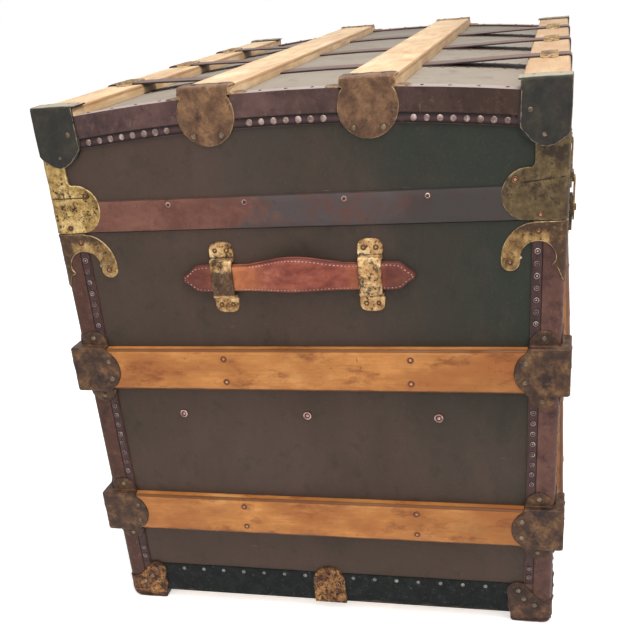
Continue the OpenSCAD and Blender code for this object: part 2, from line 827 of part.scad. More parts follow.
// Path of a cross band: on the canvas between the middle slats, up onto an outer slat, down the face
BAND_STEPS = 12;
band_y0 = mid_slat_y + mid_slat_w / 2;
band_y1 = hy + binding_t - outer_slat_w;
face_y = hy + binding_t;
function ease(t) = (1 - cos(180 * t)) / 2;
function band_low(y) = y < band_y0 ? crown_z(y) : y > band_y1 ? outer_slat_top
    : crown_z(band_y0) + (outer_slat_top - crown_z(band_y0)) * ease((y - band_y0) / (band_y1 - band_y0));
band_ys = concat([for (k = [0 : 4]) band_y0 * k / 4],
    [for (k = [1 : BAND_STEPS]) band_y0 + (band_y1 - band_y0) * k / BAND_STEPS]);
band_end_z = seam_z + band_end_up;
bend = 4;

module cross_band_profile() {
    top = outer_slat_top + band_t;
    lower = [for (y = band_ys) [y, band_low(y)]];
    upper = [for (k = [len(band_ys) - 1 : -1 : 0]) [band_ys[k], band_low(band_ys[k]) + band_t]];
    polygon(concat(lower, [[face_y, outer_slat_top], [face_y, band_end_z], [face_y + band_t, band_end_z],
        [face_y + band_t, top - bend], [face_y + band_t - bend * 0.3, top - bend * 0.3],
        [face_y + band_t - bend, top]], upper));
}

module lid_cross_bands() {
    color("#5b463f") for (x = band_xs) difference() {
        translate([x - band_w / 2, 0, 0]) rotate([90, 0, 90]) linear_extrude(band_w) {
            cross_band_profile();
            mirror([1, 0]) cross_band_profile();
        }
        crown_solid(0, 0, 0, seam_z);
    }
}

// Brass saddles that hold the bands on the outer slats
saddle_l = band_w + 26;
saddle_w = 20;
saddle_t = 1.6;
module cross_band_clamps() {
    z0 = outer_slat_top;
    color("#a88f4e") for (x = band_xs, s = [-1, 1]) translate([x, s * outer_slat_y, z0]) {
        difference() {
            linear_extrude(band_t + saddle_t) square([band_w + 2 * saddle_t, saddle_w], center = true);
            translate([0, 0, band_t / 2 - 0.5]) cube([band_w, saddle_w + 2, band_t + 1], center = true);
        }
        for (t = [-1, 1]) linear_extrude(saddle_t) difference() {
            union() {
                translate([t * (saddle_l / 2 - saddle_w / 2), 0]) circle(saddle_w / 2);
                translate([t * (band_w / 2 + saddle_t + 1.5), 0]) square([5, saddle_w], center = true);
            }
            square([band_w + 2 * saddle_t, saddle_w + 2], center = true);
        }
    }
}

module cross_band_nails() {
    z0 = outer_slat_top + saddle_t;
    color("#c9a27a") {
        for (x = band_xs, s = [-1, 1], t = [-1, 1])
            translate([x, s * outer_slat_y, 0]) head(t * (saddle_l / 2 - 7), 0, z0, tack_r, tack_h);
        on_sides() for (x = band_xs, t = [-1, 1])
            head(x + t * band_w / 4, band_end_z + 8, binding_t + band_t, tack_r, tack_h);
    }
}

// Clamp over the end of a middle slat: a flap on the slat, a neck and a round lobe on the end face
neck_in = 0.6;
neck_half = mid_slat_w / 2 - neck_in;
module middle_clamp_stock() {
    plate(0, plate_off) {
        intersection() {
            translate([mid_slat_y, mid_lobe_z]) circle(lobe_r);
            translate([mid_slat_y - lobe_r, mid_lobe_z - lobe_r]) square([2 * lobe_r, 1.6 * lobe_r]);
        }
        translate([mid_slat_y - neck_half, mid_lobe_z])
            square([2 * neck_half, mid_slat_top + sheet_t - mid_lobe_z]);
    }
    translate([0, 0, binding_t - flap_l]) plate(0, flap_l)
        translate([mid_slat_y - neck_half, mid_slat_top]) square([2 * neck_half, sheet_t]);
}

module middle_slat_clamps() {
    slat_y = mid_slat_y - mid_slat_w / 2;
    color("#6f5e3f") for (sx = [0, 1], sy = [0, 1]) mirror([sx, 0, 0]) mirror([0, sy, 0])
        difference() {
            on_right() middle_clamp_stock();
            lid_binding_zone(0);
            crown_solid(0, 0, 0, seam_z);
            span([0, slat_y, seam_z + lid_h / 2], [hx + binding_t, slat_y + mid_slat_w, mid_slat_top]);
        }
}

// The lid binding's space, with square or rounded corners
module lid_binding_zone(r) {
    difference() {
        crown_solid(binding_t, binding_t, r, seam_z);
        crown_solid(-lid_strip_up, far / 2, 0, seam_z - 1);
    }
}

// Dark clamp over the end of an outer slat: a flap, a pointed tongue on the end and a lip on the side
module lid_corner_clamp() {
    top = outer_slat_top + sheet_t;
    lip_z = clamp_tongue_z + 22;
    point_r = tongue_w * 0.55;
    difference() {
        intersection() {
            corner_post(plate_off, corner_r + sheet_t, tongue_w, clamp_tongue_z - 1, top);
            union() {
                translate([hx, 0, 0]) rotate([90, 0, 90]) linear_extrude(far)
                    translate([hy + binding_t, 0]) mirror([1, 0]) {
                        translate([-far, clamp_tongue_z + point_r]) square([far + tongue_w, lid_h]);
                        translate([tongue_w / 2, clamp_tongue_z + point_r]) circle(point_r);
                    }
                span([hx + binding_t - flap_l, hy, lip_z], [hx + binding_t, hy + far, top + 1]);
                span([hx + binding_t - flap_l, hy - far * 2, outer_slat_top], [hx + far, hy + far, top + 1]);
            }
        }
        crown_solid(0, 0, 0, seam_z);
        lid_binding_zone(corner_r);
        span([0, 0, crown_top - crown_rise - 4], [hx + binding_t, hy + binding_t, outer_slat_top]);
    }
}

module lid_corner_clamps() { color("#33352c") corners() lid_corner_clamp(); }

module lid_clamp_nails() {
    tongue_mid = hy + binding_t - tongue_w / 2;
    color("#8d7c62") {
        on_ends() for (s = [-1, 1]) {
            for (e = [-1, 1]) head(s * mid_slat_y + e * 15, mid_lobe_z - lobe_r + 11, plate_off, nail_r, nail_h);
            head(s * (tongue_mid - tongue_nail_side), clamp_tongue_z + tongue_nail_up, plate_off, nail_r, nail_h);
            head(s * tongue_mid, clamp_tongue_z + 9, plate_off, nail_r, nail_h);
        }
        for (sx = [0, 1], sy = [-1, 1], e = [-1, 1]) mirror([sx, 0, 0]) {
            translate([hx - flap_l / 2, 0, 0]) head(0, sy * mid_slat_y + e * 15, mid_slat_top + sheet_t, tack_r, tack_h);
            translate([hx - flap_l / 2, 0, 0]) head(0, sy * outer_slat_y + e * 12, outer_slat_top + sheet_t, tack_r, tack_h);
        }
    }
}

// Brass corner of the lid: a round lobe above the seam and a neck that runs up under the clamp
module brass_outline(lobe) {
    translate([-far, band_z0]) square([far + lobe - 6.5, clamp_tongue_z + 12 - band_z0]);
    translate([lobe, lobe_z]) circle(corner_lobe_r);
    translate([-far, band_z0]) square([far + lobe, corner_lobe_r]);
}

module brass_corner(lobe) {
    difference() {
        intersection() {
            corner_post(plate_off, corner_r + sheet_t, lobe + corner_lobe_r + 4, band_z0, clamp_tongue_z + 12);
            both_faces() brass_outline(lobe);
        }
        case_block();
        on_right() lid_lower_band(hy + lid_band_t);
        on_back() lid_lower_band(hx);
        lid_corner_clamp();
        lid_binding_zone(corner_r);
    }
}

// The two back corners reach less far inward than the front ones
module brass_corners() {
    color("#8f7d46") for (sx = [0, 1], sy = [0, 1]) mirror([sx, 0, 0]) mirror([0, sy, 0])
        brass_corner(sy == 0 ? back_lobe_in : lobe_in);
}

module brass_corner_rivets() {
    function spots(lobe) = [[lobe + 12.5, lobe_z + 15], [lobe - 13, band_z0 + 6]];
    color("#b7814f") {
        on_ends() for (s = [-1, 1], p = spots(s > 0 ? back_lobe_in : lobe_in))
            head(s * (hy + binding_t - p[0]), p[1], plate_off, rivet_r, rivet_h);
        on_front() for (s = [-1, 1], p = spots(lobe_in))
            head(s * (hx + binding_t - p[0]), p[1], plate_off, rivet_r, rivet_h);
        on_back() for (s = [-1, 1], p = spots(back_lobe_in))
            head(s * (hx + binding_t - p[0]), p[1], plate_off, rivet_r, rivet_h);
    }
}

// Lock and draw bolts on the front
module pivot_plate(w, h) {
    k = w / 3;
    color("#8f7d46") {
        translate([-w / 2 - 6, pivot_up + small_knuckle_r + 2 * gap, lid_band_t])
            cube([w + 12, h, 2]);
        for (s = [-1, 1]) translate([s * k - (k - gap) / 2, pivot_up, lid_band_t])
            cube([k - gap, small_knuckle_r + 6, pivot_off - lid_band_t]);
        for (s = [-1, 1]) translate([s * k, pivot_up, pivot_off]) rotate([0, 90, 0])
            cylinder(r = small_knuckle_r, h = k - gap, center = true);
        translate([0, pivot_up, pivot_off]) rotate([0, 90, 0])
            cylinder(r = small_pin_r, h = w - gap, center = true);
    }
}

// A tail that hangs from its knuckle in front of the base
module swinging_tail(w, len) {
    k = w / 3;
    difference() {
        union() {
            translate([0, pivot_up, pivot_off]) rotate([0, 90, 0])
                cylinder(r = small_knuckle_r, h = k - gap, center = true);
            translate([-(k - gap) / 2, pivot_up - small_knuckle_r - 2, pivot_off])
                cube([k - gap, small_knuckle_r + 2, small_knuckle_r]);
            translate([0, 0, tail_off]) linear_extrude(tail_t) children();
            translate([-(k - gap) / 2, pivot_up - small_knuckle_r - 6, pivot_off])
                cube([k - gap, 5, tail_off + tail_t - pivot_off]);
        }
        translate([0, pivot_up, pivot_off]) rotate([0, 90, 0])
            cylinder(r = small_pin_r + pin_fit, h = w, center = true);
    }
}

tail_top = pivot_up - small_knuckle_r - 2 * gap;
module lock_hasp() {
    foot = tail_top - hasp_len;
    color("#a88f4e") on_front() translate([0, seam_z, 0]) {
        swinging_tail(hasp_w, hasp_len) {
            translate([-hasp_w / 2, foot + hasp_w / 2]) square([hasp_w, hasp_len - hasp_w / 2]);
            translate([0, foot + hasp_w / 2]) circle(hasp_w / 2);
        }
        translate([-staple_t / 2, -staple_down, tail_off - staple_t]) cube([staple_t, 12, staple_t]);
    }
}

module lock_body() {
    body_w = 56;
    body_h = 54;
    body_top = -10;
    slot_w = 8;
    bump_r = 12;
    color("#8f7d46") on_front() translate([0, seam_z, 0]) difference() {
        union() {
            plate(0, 2) translate([-body_w / 2 - 10, body_top - body_h - 12]) square([body_w + 20, body_h + 14]);
            plate(0, tail_off - gap) translate([-body_w / 2, body_top - body_h]) square([body_w, body_h]);
            plate(0, tail_off - gap - 3) translate([0, body_top - body_h]) circle(bump_r);
        }
        translate([-slot_w / 2, -staple_down - 4, 3]) cube([slot_w, staple_down + far, far]);
    }
}

module hasp_plate() { on_front() translate([0, seam_z, 0]) pivot_plate(hasp_w, hasp_plate_h); }

module draw_bolt_plates() {
    on_front() for (s = [-1, 1]) translate([s * bolt_x, seam_z, 0]) pivot_plate(bolt_w, bolt_plate_h);
}

// The bolt's tail is forked below, so that it drops over the keeper's stud
module draw_bolt(s) {
    foot = tail_top - bolt_len;
    color("#a88f4e") on_front() translate([s * bolt_x, seam_z, 0])
        swinging_tail(bolt_w, bolt_len) difference() {
            union() {
                translate([-bolt_w / 2, foot + 8]) square([bolt_w, bolt_len - 8]);
                for (t = [-1, 1]) translate([t * (bolt_w / 2 - 4), foot + 8]) circle(4);
            }
            translate([0, stud_z]) circle(stud_r + gap);
            translate([-stud_r - gap, stud_z - far]) square([2 * (stud_r + gap), far]);
        }
}

module left_draw_bolt() { draw_bolt(-1); }
module right_draw_bolt() { draw_bolt(1); }

module draw_bolt_keepers() {
    color("#8f7d46") on_front() for (s = [-1, 1]) translate([s * bolt_x, seam_z, 0]) {
        plate(0, 2) {
            translate([-keeper_plate_w / 2, keeper_plate_top - keeper_plate_h])
                square([keeper_plate_w, keeper_plate_h]);
            translate([0, keeper_plate_top - keeper_plate_h]) circle(keeper_plate_w / 2);
        }
        plate(0, tail_off - gap) translate([-keeper_block_w / 2, keeper_plate_top - keeper_block_h])
            square([keeper_block_w, keeper_block_h]);
        plate(0, tail_off + tail_t + 2) translate([0, stud_z]) circle(stud_r);
    }
}

bottom_board();
front_board();
back_board();
left_board();
right_board();
base_canvas();
base_lining();
vertical_bindings();
bottom_bindings();
bottom_corner_caps();
bottom_cap_nails();
bottom_runner();
runner_end_clamps();
end_slats();
front_slats();
back_slats();
slat_screws();
slat_corner_clamps();
slat_clamp_nails();
hook_corners();
hook_rivets();
left_handle_loops();
right_handle_loops();
handle_loop_rivets();
panel_rivets();
lock_body();
draw_bolt_keepers();
hinge_base_leaves();
hinge_pins();
left_handle();
right_handle();
lock_hasp();
left_draw_bolt();
right_draw_bolt();
lid_top_board();
lid_front_board();
lid_back_board();
lid_left_board();
lid_right_board();
lid_canvas();
lid_lining();
lid_edge_bindings();
lid_lower_bands();
lid_band_screws();
lid_middle_slats();
lid_outer_slats();
lid_cross_bands();
cross_band_clamps();
cross_band_nails();
middle_slat_clamps();
lid_corner_clamps();
lid_clamp_nails();
brass_corners();
brass_corner_rivets();
hinge_lid_leaves();
hasp_plate();
draw_bolt_plates();
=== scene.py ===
import math
import random
import bmesh
import bpy
import numpy as np
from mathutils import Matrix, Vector, geometry, noise


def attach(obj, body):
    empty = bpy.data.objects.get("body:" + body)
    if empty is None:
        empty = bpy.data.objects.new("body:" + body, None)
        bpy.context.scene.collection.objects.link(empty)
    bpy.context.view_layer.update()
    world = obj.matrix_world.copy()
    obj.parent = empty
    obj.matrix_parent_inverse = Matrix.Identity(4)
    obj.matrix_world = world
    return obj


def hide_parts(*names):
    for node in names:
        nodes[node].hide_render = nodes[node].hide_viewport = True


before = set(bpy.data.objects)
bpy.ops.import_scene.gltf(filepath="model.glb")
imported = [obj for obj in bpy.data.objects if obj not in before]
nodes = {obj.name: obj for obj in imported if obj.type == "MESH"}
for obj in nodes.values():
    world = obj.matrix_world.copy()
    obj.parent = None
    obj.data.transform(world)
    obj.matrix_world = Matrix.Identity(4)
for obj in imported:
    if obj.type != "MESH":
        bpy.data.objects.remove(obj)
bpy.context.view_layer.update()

mm = 0.001
print("frame loaded")

# Sizes shared by many pieces, in millimetres
trunk = {
    "halfLength": 430.0,
    "halfDepth": 277.5,
    "bottom": 12.0,
    "seam": 502.0,
    "crownTop": 636.5,
    "crownRadius": 2148.1,
    "bindingThick": 2.5,
    "plateOff": 4.0,
    "plateBend": 7.5,
    "slatThick": 12.0,
    "slatWidth": 51.0,
    "slatHeights": (142.0, 340.5),
    "lidSlatY": 85.0,
    "lidSlatTop": 646.0,
    "outerSlatY": 256.5,
    "outerSlatTop": 635.0,
    "bandXs": (-215.0, 0.0, 215.0),
}
hx = trunk["halfLength"]
hy = trunk["halfDepth"]
thick = trunk["bindingThick"]


def crownZ(y, off=0.0):
    r = trunk["crownRadius"]
    return trunk["crownTop"] - r + math.sqrt((r + off) ** 2 - y * y)


# Materials: each look is a dictionary that one function turns into nodes

def colour(code):
    def part(v):
        return v / 12.92 if v <= 0.04045 else ((v + 0.055) / 1.055) ** 2.4
    return tuple(part(int(code[i:i + 2], 16) / 255) for i in (1, 3, 5)) + (1.0,)


def addNode(tree, kind, links=None, values=None, stops=None, **settings):
    made = tree.nodes.new("ShaderNode" + kind)
    for key, value in settings.items():
        setattr(made, key, value)
    for key, value in (values or {}).items():
        made.inputs[key].default_value = value
    for key, value in (links or {}).items():
        tree.links.new(value, made.inputs[key])
    if stops:
        while len(made.color_ramp.elements) < len(stops):
            made.color_ramp.elements.new(0.5)
        for element, (at, tone) in zip(made.color_ramp.elements, stops):
            element.position = at
            element.color = colour(tone) if isinstance(tone, str) else (tone, tone, tone, 1)
    return made


def pattern(tree, look):
    # One texture in object space; its size is in millimetres, and stretch lengthens it along X, Y, Z
    place = addNode(tree, "TexCoord")
    kind = look.get("kind")
    if kind == "facing":
        # 1 where the surface looks straight up
        return addNode(tree, "SeparateXYZ", {0: place.outputs["Normal"]}).outputs[2]
    stretch = look.get("stretch", (1, 1, 1))
    mapped = addNode(tree, "Mapping", {"Vector": place.outputs["Object"]},
                     {"Scale": tuple(1 / s for s in stretch), "Location": look.get("shift", (0, 0, 0)),
                      "Rotation": look.get("turn", (0, 0, 0))})
    scale = 1 / (look["size"] * mm)
    if kind == "cells":
        tex = addNode(tree, "TexVoronoi", {"Vector": mapped.outputs[0]}, {"Scale": scale})
        return tex.outputs["Distance"]
    if kind == "waves":
        # at scale 1 this texture draws about 3.2 waves to the unit
        wavesPerUnit = 3.2
        return addNode(tree, "TexWave", {"Vector": mapped.outputs[0]}, {"Scale": scale / wavesPerUnit},
                       bands_direction=look["across"]).outputs["Fac"]
    tex = addNode(tree, "TexNoise", {"Vector": mapped.outputs[0]},
                  {"Scale": scale, "Detail": look.get("detail", 4.0), "Roughness": look.get("mess", 0.55),
                   "Distortion": look.get("bend", 0.0)})
    if kind == "slope":
        # rises along a direction, in shares per metre, with a ragged border
        along = addNode(tree, "VectorMath", {0: place.outputs["Object"]}, {1: look["toward"]},
                        operation="DOT_PRODUCT").outputs["Value"]
        both = addNode(tree, "Math", {0: tex.outputs["Fac"], 2: along}, {1: look["rag"]},
                       operation="MULTIPLY_ADD")
        return addNode(tree, "Math", {0: both.outputs[0]}, {1: look["start"]}, operation="ADD").outputs[0]
    return tex.outputs["Fac"]


def makeMaterial(name, look):
    # base tones, then stains laid over them one by one, then roughness and relief
    made = bpy.data.materials.new(name)
    made.use_nodes = True
    tree = made.node_tree
    shader = tree.nodes["Principled BSDF"]
    base = look["tones"]
    tint = addNode(tree, "ValToRGB", {"Fac": pattern(tree, base)}, stops=base["stops"]).outputs["Color"]
    gloss = None
    for spot in look.get("stains", []):
        if "attribute" in spot:
            source = addNode(tree, "Attribute", attribute_name=spot["attribute"]).outputs["Fac"]
            if "size" in spot:
                source = addNode(tree, "Math", {0: source, 1: pattern(tree, spot)},
                                 operation="MULTIPLY").outputs[0]
        else:
            source = pattern(tree, spot)
        mask = addNode(tree, "ValToRGB", {"Fac": source}, stops=spot["edge"]).outputs["Color"]
        tint = addNode(tree, "Mix", {0: mask, 6: tint}, {7: colour(spot["tone"])},
                       data_type="RGBA").outputs[2]
        if "rough" in spot:
            gloss = (mask, spot["rough"])
    tree.links.new(tint, shader.inputs["Base Color"])
    low, high = look["rough"]
    if low == high:
        shader.inputs["Roughness"].default_value = low
    else:
        rough = addNode(tree, "MapRange", {"Value": pattern(tree, base)},
                        {"From Min": 0.3, "From Max": 0.7, "To Min": low, "To Max": high}).outputs[0]
        if gloss:
            rough = addNode(tree, "Mix", {0: gloss[0], 2: rough}, {3: gloss[1]}).outputs[0]
        tree.links.new(rough, shader.inputs["Roughness"])
    shader.inputs["Metallic"].default_value = look.get("metal", 0.0)
    shader.inputs["Specular IOR Level"].default_value = look.get("gleam", 0.5)
    height = None
    for layer in look["relief"]:
        links = {"Height": pattern(tree, layer)}
        if height:
            links["Normal"] = height
        height = addNode(tree, "Bump", links, {"Strength": layer["force"],
                                               "Distance": layer["height"] * mm}).outputs[0]
    tree.links.new(height, shader.inputs["Normal"])
    return made


def tones(size, at, colours, **more):
    # the base colours of a look, and where each sits on its pattern
    return dict(more, size=size, stops=list(zip(at, colours)))


def stain(tone, low, high, share, **more):
    # a colour laid over the rest where its pattern climbs from low to high, up to that share
    return dict(more, tone=tone, edge=[(low, 0.0), (high, share)])


def relief(size, height, force=0.5, **more):
    return dict(more, size=size, height=height, force=force)


finishes = {}

# Painted cotton duck over boards: matt oil paint, brown low down and olive where it faced the light, paler on
# top of the lid as a painted highlight of the glare there; threads about 0.7 mm apart are drawn at 1.6 mm to
# show
finishes["canvas"] = makeMaterial("paintedCottonDuck", {
    "tones": tones(240, (0.30, 0.45, 0.58, 0.72), ("#4e3f39", "#4a3c34", "#433830", "#3e372e"), detail=6.0,
                   mess=0.6, bend=0.4, shift=(0.1, 0.13, 0.37)),
    "stains": [
        stain("#2c302a", 0.22, 0.72, 0.95, kind="slope", toward=(0, -1.7, 1.1), start=-0.45, size=90,
              rag=0.5),
        # painted highlight: canvas that faces up is paled as the glare on the lid's top
        stain("#8e8375", 0.80, 0.95, 1.0, kind="facing"),
        stain("#5b4740", 0.50, 0.74, 0.35, size=60, detail=8.0, mess=0.7, stretch=(1, 1, 2.5)),
        stain("#262621", 0.54, 0.76, 0.5, size=24, detail=8.0, mess=0.7, shift=(3, 1, 7)),
        stain("#6f6256", 0.58, 0.74, 0.18, size=2.6, detail=3.0, mess=0.7, shift=(6, 1, 7)),
        stain("#8b8273", 0.73, 0.78, 0.4, size=5, stretch=(1, 9, 1), turn=(0.6, 0, 0.2)),
    ],
    "rough": (0.5, 0.7), "gleam": 0.15,
    "relief": [relief(1.6, 0.08, kind="waves", across="Z"), relief(1.6, 0.06, 0.4, kind="waves", across="Y"),
               relief(26, 0.6, 0.4)],
})


# Vulcanised fibre: pressed paper board, reddish brown, waxy where hands polish it, paled on the top as a
# painted highlight
def fibreLook(colours, shade, share, toward, start):
    return {
        "tones": tones(45, (0.3, 0.5, 0.7), colours, detail=6.0, mess=0.62, shift=(0.4, 0.2, 0.1)),
        "stains": [
            stain(shade, 0.25, 0.75, share, kind="slope", toward=toward, start=start, size=60, rag=0.5),
            stain("#7b5a4e", 0.52, 0.75, 0.5, size=12, detail=7.0, mess=0.75),
            stain("#2a1a19", 0.51, 0.68, 0.85, size=20, detail=8.0, mess=0.75, shift=(2, 8, 3)),
            # painted highlight: the faces that look up are paled
            stain("#a5948f", 0.80, 0.97, 0.8, kind="facing"),
            stain("#94786a", 0.66, 0.75, 0.4, size=2.2, stretch=(1, 1, 6)),
        ],
        "rough": (0.42, 0.62), "gleam": 0.2,
        "relief": [relief(1.2, 0.12, detail=5.0), relief(14, 0.5, 0.4)],
    }


finishes["fibre"] = makeMaterial("vulcanisedFibre", fibreLook(
    ("#4a3029", "#5c3e36", "#704e43"), "#43291f", 0.7, (0, 1.9, -0.25), 0.1))
# the same round the lid's edge, darker and more purple
finishes["lidFibre"] = makeMaterial("darkenedFibre", fibreLook(
    ("#3f2d2c", "#523c3a", "#674c48"), "#33231c", 0.9, (0, -1.9, -0.25), 0.25))

# The sunk strip that carries the rivets: darker, plum-coloured, and near black along its edges, painted there
# as grime and as shade in the sunk edges
finishes["strip"] = makeMaterial("plumFibreStrip", {
    "tones": tones(14, (0.3, 0.5, 0.7), ("#352425", "#432e2f", "#533a3a"), detail=6.0, mess=0.65,
                   shift=(1.4, 0.2, 0.6)),
    # painted shade and grime: near black along the strip's edges
    "stains": [stain("#0f0909", 0.1, 0.6, 1.0, attribute="edgeWearAndShading"),
               stain("#6b504c", 0.58, 0.72, 0.5, size=5, detail=6.0, mess=0.7)],
    "rough": (0.4, 0.6), "gleam": 0.2,
    "relief": [relief(1.6, 0.15, detail=5.0)],
})

# The lower lid band: the same fibre, red-brown at the back and stained blue-black towards the front
finishes["band"] = makeMaterial("stainedFibre", {
    "tones": tones(50, (0.3, 0.5, 0.68), ("#5b3b33", "#6e473c", "#7c5548"), detail=6.0, mess=0.65,
                   stretch=(1, 2.5, 1), shift=(0.7, 0.1, 0.2)),
    "stains": [
        stain("#8a5c4d", 0.5, 0.72, 0.5, size=9, detail=8.0, mess=0.75, stretch=(1, 3, 1)),
        stain("#3f4244", 0.46, 0.74, 0.8, kind="slope", toward=(0, -4.6, 0), start=0.30, size=22, rag=1.1),
        stain("#5e3a31", 0.47, 0.60, 0.8, size=34, detail=8.0, mess=0.75, shift=(9, 3, 1)),
        stain("#3b3634", 0.45, 0.75, 0.85, kind="slope", toward=(0, -4.6, 0), start=-0.25, size=40, rag=0.7),
        stain("#2e2522", 0.60, 0.75, 0.7, size=6, detail=6.0, mess=0.7, shift=(4, 4, 4)),
        # painted shade: dark lines along the band's edges
        stain("#201615", 0.3, 0.95, 0.8, attribute="edgeWearAndShading"),
    ],
    "rough": (0.4, 0.6), "gleam": 0.2,
    "relief": [relief(2.0, 0.15, detail=5.0)],
})

# The cross bands: fibre strips, pale on top and dark down their sides, painted there as the dark cut edge and
# as shade; and the dark cut edges of the strips under them
finishes["cross"] = makeMaterial("scuffedFibreStrip", {
    "tones": tones(30, (0.3, 0.5, 0.7), ("#4d3833", "#64493f", "#7d6055"), detail=6.0, mess=0.65,
                   stretch=(1, 4, 1)),
    "stains": [stain("#4a3631", 0.52, 0.72, 0.6, size=8, detail=8.0, mess=0.75, stretch=(1, 4, 1)),
               stain("#251817", 0.25, 0.85, 0.95, attribute="dark")],
    "rough": (0.4, 0.6), "gleam": 0.2,
    "relief": [relief(2.0, 0.15, detail=5.0)],
})
finishes["crossEdge"] = makeMaterial("cutFibreEdge", {
    "tones": tones(12, (0.3, 0.7), ("#241716", "#3a2926")),
    "rough": (0.5, 0.7), "gleam": 0.3,
    "relief": [relief(1.0, 0.1)],
})


# Sawn ash slats: fine straight grain, oil-stained in brown blotches, and on the lid worn to bare yellow wood
# and painted paler still as the strong light on its top
def woodLook(grainAxis, colours, dark, pale, blotch=0.56, edge="#5a3419"):
    along, longer = (tuple(s if axis == grainAxis else 1 for axis in range(3)) for s in (30, 2.6))
    return {
        "tones": tones(26, (0.30, 0.45, 0.58, 0.72), colours, detail=8.0, mess=0.66, stretch=longer),
        "stains": [
            stain(dark, 0.46, 0.66, 0.24, size=2.4, detail=5.0, mess=0.6, stretch=along, shift=(4, 9, 2)),
            stain(pale, 0.53, 0.76, 0.6, size=40, detail=8.0, mess=0.72, stretch=longer, shift=(7, 2, 5)),
            stain(dark, 0.3, 0.9, 0.5, kind="slope", toward=(0, -4.6, 0), start=-0.45, size=60, rag=0.8),
            stain("#985829", blotch - 0.10, blotch + 0.08, 0.8, size=55, detail=6.0, mess=0.66,
                  stretch=longer, shift=(1, 6, 9)),
            stain("#7c441d", blotch - 0.02, blotch + 0.08, 0.8, size=24, detail=8.0, mess=0.72,
                  stretch=longer, shift=(5, 2, 1)),
            stain("#5f3418", blotch + 0.11, blotch + 0.15, 0.8, size=7, detail=5.0, mess=0.7,
                  shift=(8, 2, 6)),
            stain("#5a3820", 0.71, 0.76, 0.6, size=4, detail=3.0, stretch=(1, 1, 5), turn=(0.7, 0.5, 0),
                  shift=(3, 2, 8)),
            # painted shade and grime: the slats' edges are darkened
            stain(edge, 0.35, 0.9, 0.85, attribute="edgeWearAndShading"),
            stain("#6e3c1c", 0.38, 0.62, 0.7, attribute="rust", size=9, detail=8.0, mess=0.75),
        ],
        "rough": (0.42, 0.62), "gleam": 0.3,
        "relief": [relief(1.6, 0.2, stretch=along), relief(24, 0.5, 0.3)],
    }


for label, name, grainAxis in (("slatY", "varnishedAshAcross", 1), ("slatX", "varnishedAshAlong", 0)):
    finishes[label] = makeMaterial(name, woodLook(
        grainAxis, ("#9f6530", "#b5763b", "#c58447", "#d89a5e"), "#7d4a20", "#dba76c"))
# the lid's slats: a paler copy of the ash, part worn wood and part painted light from above
finishes["lidSlat"] = makeMaterial("sunPaledAshWithPaintedLight", woodLook(
    0, ("#b38d66", "#c8a67d", "#d6b88f", "#e6cfab"), "#9a7149", "#ecd9bb", 0.67, "#9a7149"))
finishes["board"] = makeMaterial("basswoodBoard", woodLook(
    0, ("#c39a62", "#d3ac74", "#dcb984", "#e5c796"), "#a98a5c", "#e2cfa6", 0.72))

# Lining: plain paper pasted on the boards, matt and foxed with age
finishes["lining"] = makeMaterial("foxedLiningPaper", {
    "tones": tones(160, (0.3, 0.5, 0.7), ("#b39f7c", "#c4b290", "#cdbc9b"), detail=6.0),
    "stains": [stain("#8c6f47", 0.60, 0.78, 0.6, size=14, detail=8.0, mess=0.8),
               stain("#9a8562", 0.55, 0.75, 0.4, size=120, detail=6.0, mess=0.7, shift=(3, 3, 3))],
    "rough": (0.7, 0.85),
    "relief": [relief(0.8, 0.05), relief(30, 0.4, 0.3)],
})


# Plated steel, hammered by use: rims painted with a rim tone, pale as painted highlight and rubbed wear or
# dark as painted shade and grime; pitted and brown where the plate has gone
def metalFinish(name, colours, dirt, rim, pits, metal=0.4, rough=(0.42, 0.62), more=()):
    # colours from the darkest to the palest; dirt is (tone, where it starts); rim is the tone painted along
    # the rims as highlight or shade; pits is where the holes start
    tone, start = dirt
    return makeMaterial(name, {
        "tones": tones(16, (0.35, 0.46, 0.55, 0.66), colours, detail=8.0, mess=0.7, shift=(0.2, 0.9, 0.1)),
        "stains": [
            stain(tone, start, start + 0.1, 0.9, size=20, detail=8.0, mess=0.75, shift=(8, 2, 2), rough=0.6),
            stain("#170d08", pits, pits + 0.05, 0.95, size=4.5, detail=7.0, mess=0.78, shift=(3, 5, 1),
                  rough=0.65),
            # dark where a piece marks it old: tarnish, flaked plate, and painted shade in the loops' folds
            stain("#3c2820", 0.22, 0.48, 0.9, attribute="old", size=7, detail=7.0, mess=0.75),
            # painted highlight or shade, with wear: the rim tone along the rims
            stain(rim, 0.30, 0.50, 0.7, attribute="edgeWearAndShading", size=7, detail=3.0),
            stain("#1d130c", 0.2, 0.8, 0.85, attribute="crease"),
            *more,
        ],
        "metal": metal, "rough": rough, "gleam": 0.3,
        "relief": [relief(3.4, 0.25, 0.45, kind="cells"), relief(7, 0.7, 0.6, detail=6.0, mess=0.7)],
    })


# Brass-plated steel: the back corners still yellow, the front ones and the lock tarnished olive brown
finishes["brightBrass"] = metalFinish(
    "pittedBrassPlate", ("#755932", "#9d7f49", "#bb9c62", "#ddc491"), ("#5a3a1f", 0.55), "#e0cd9c", 0.54)
finishes["dullBrass"] = metalFinish(
    "tarnishedBrassPlate", ("#3c2f22", "#50402a", "#615035", "#7a6646"), ("#2c211b", 0.52), "#b09a78", 0.60)
# Handle loops: cream gold that flakes off to dark steel, with rims painted dark as shade and grime
finishes["loopBrass"] = metalFinish(
    "flakedBrassPlate", ("#7f5934", "#b2895a", "#d2ac78", "#efd6aa"), ("#2c170e", 0.495), "#3a2417", 0.54)
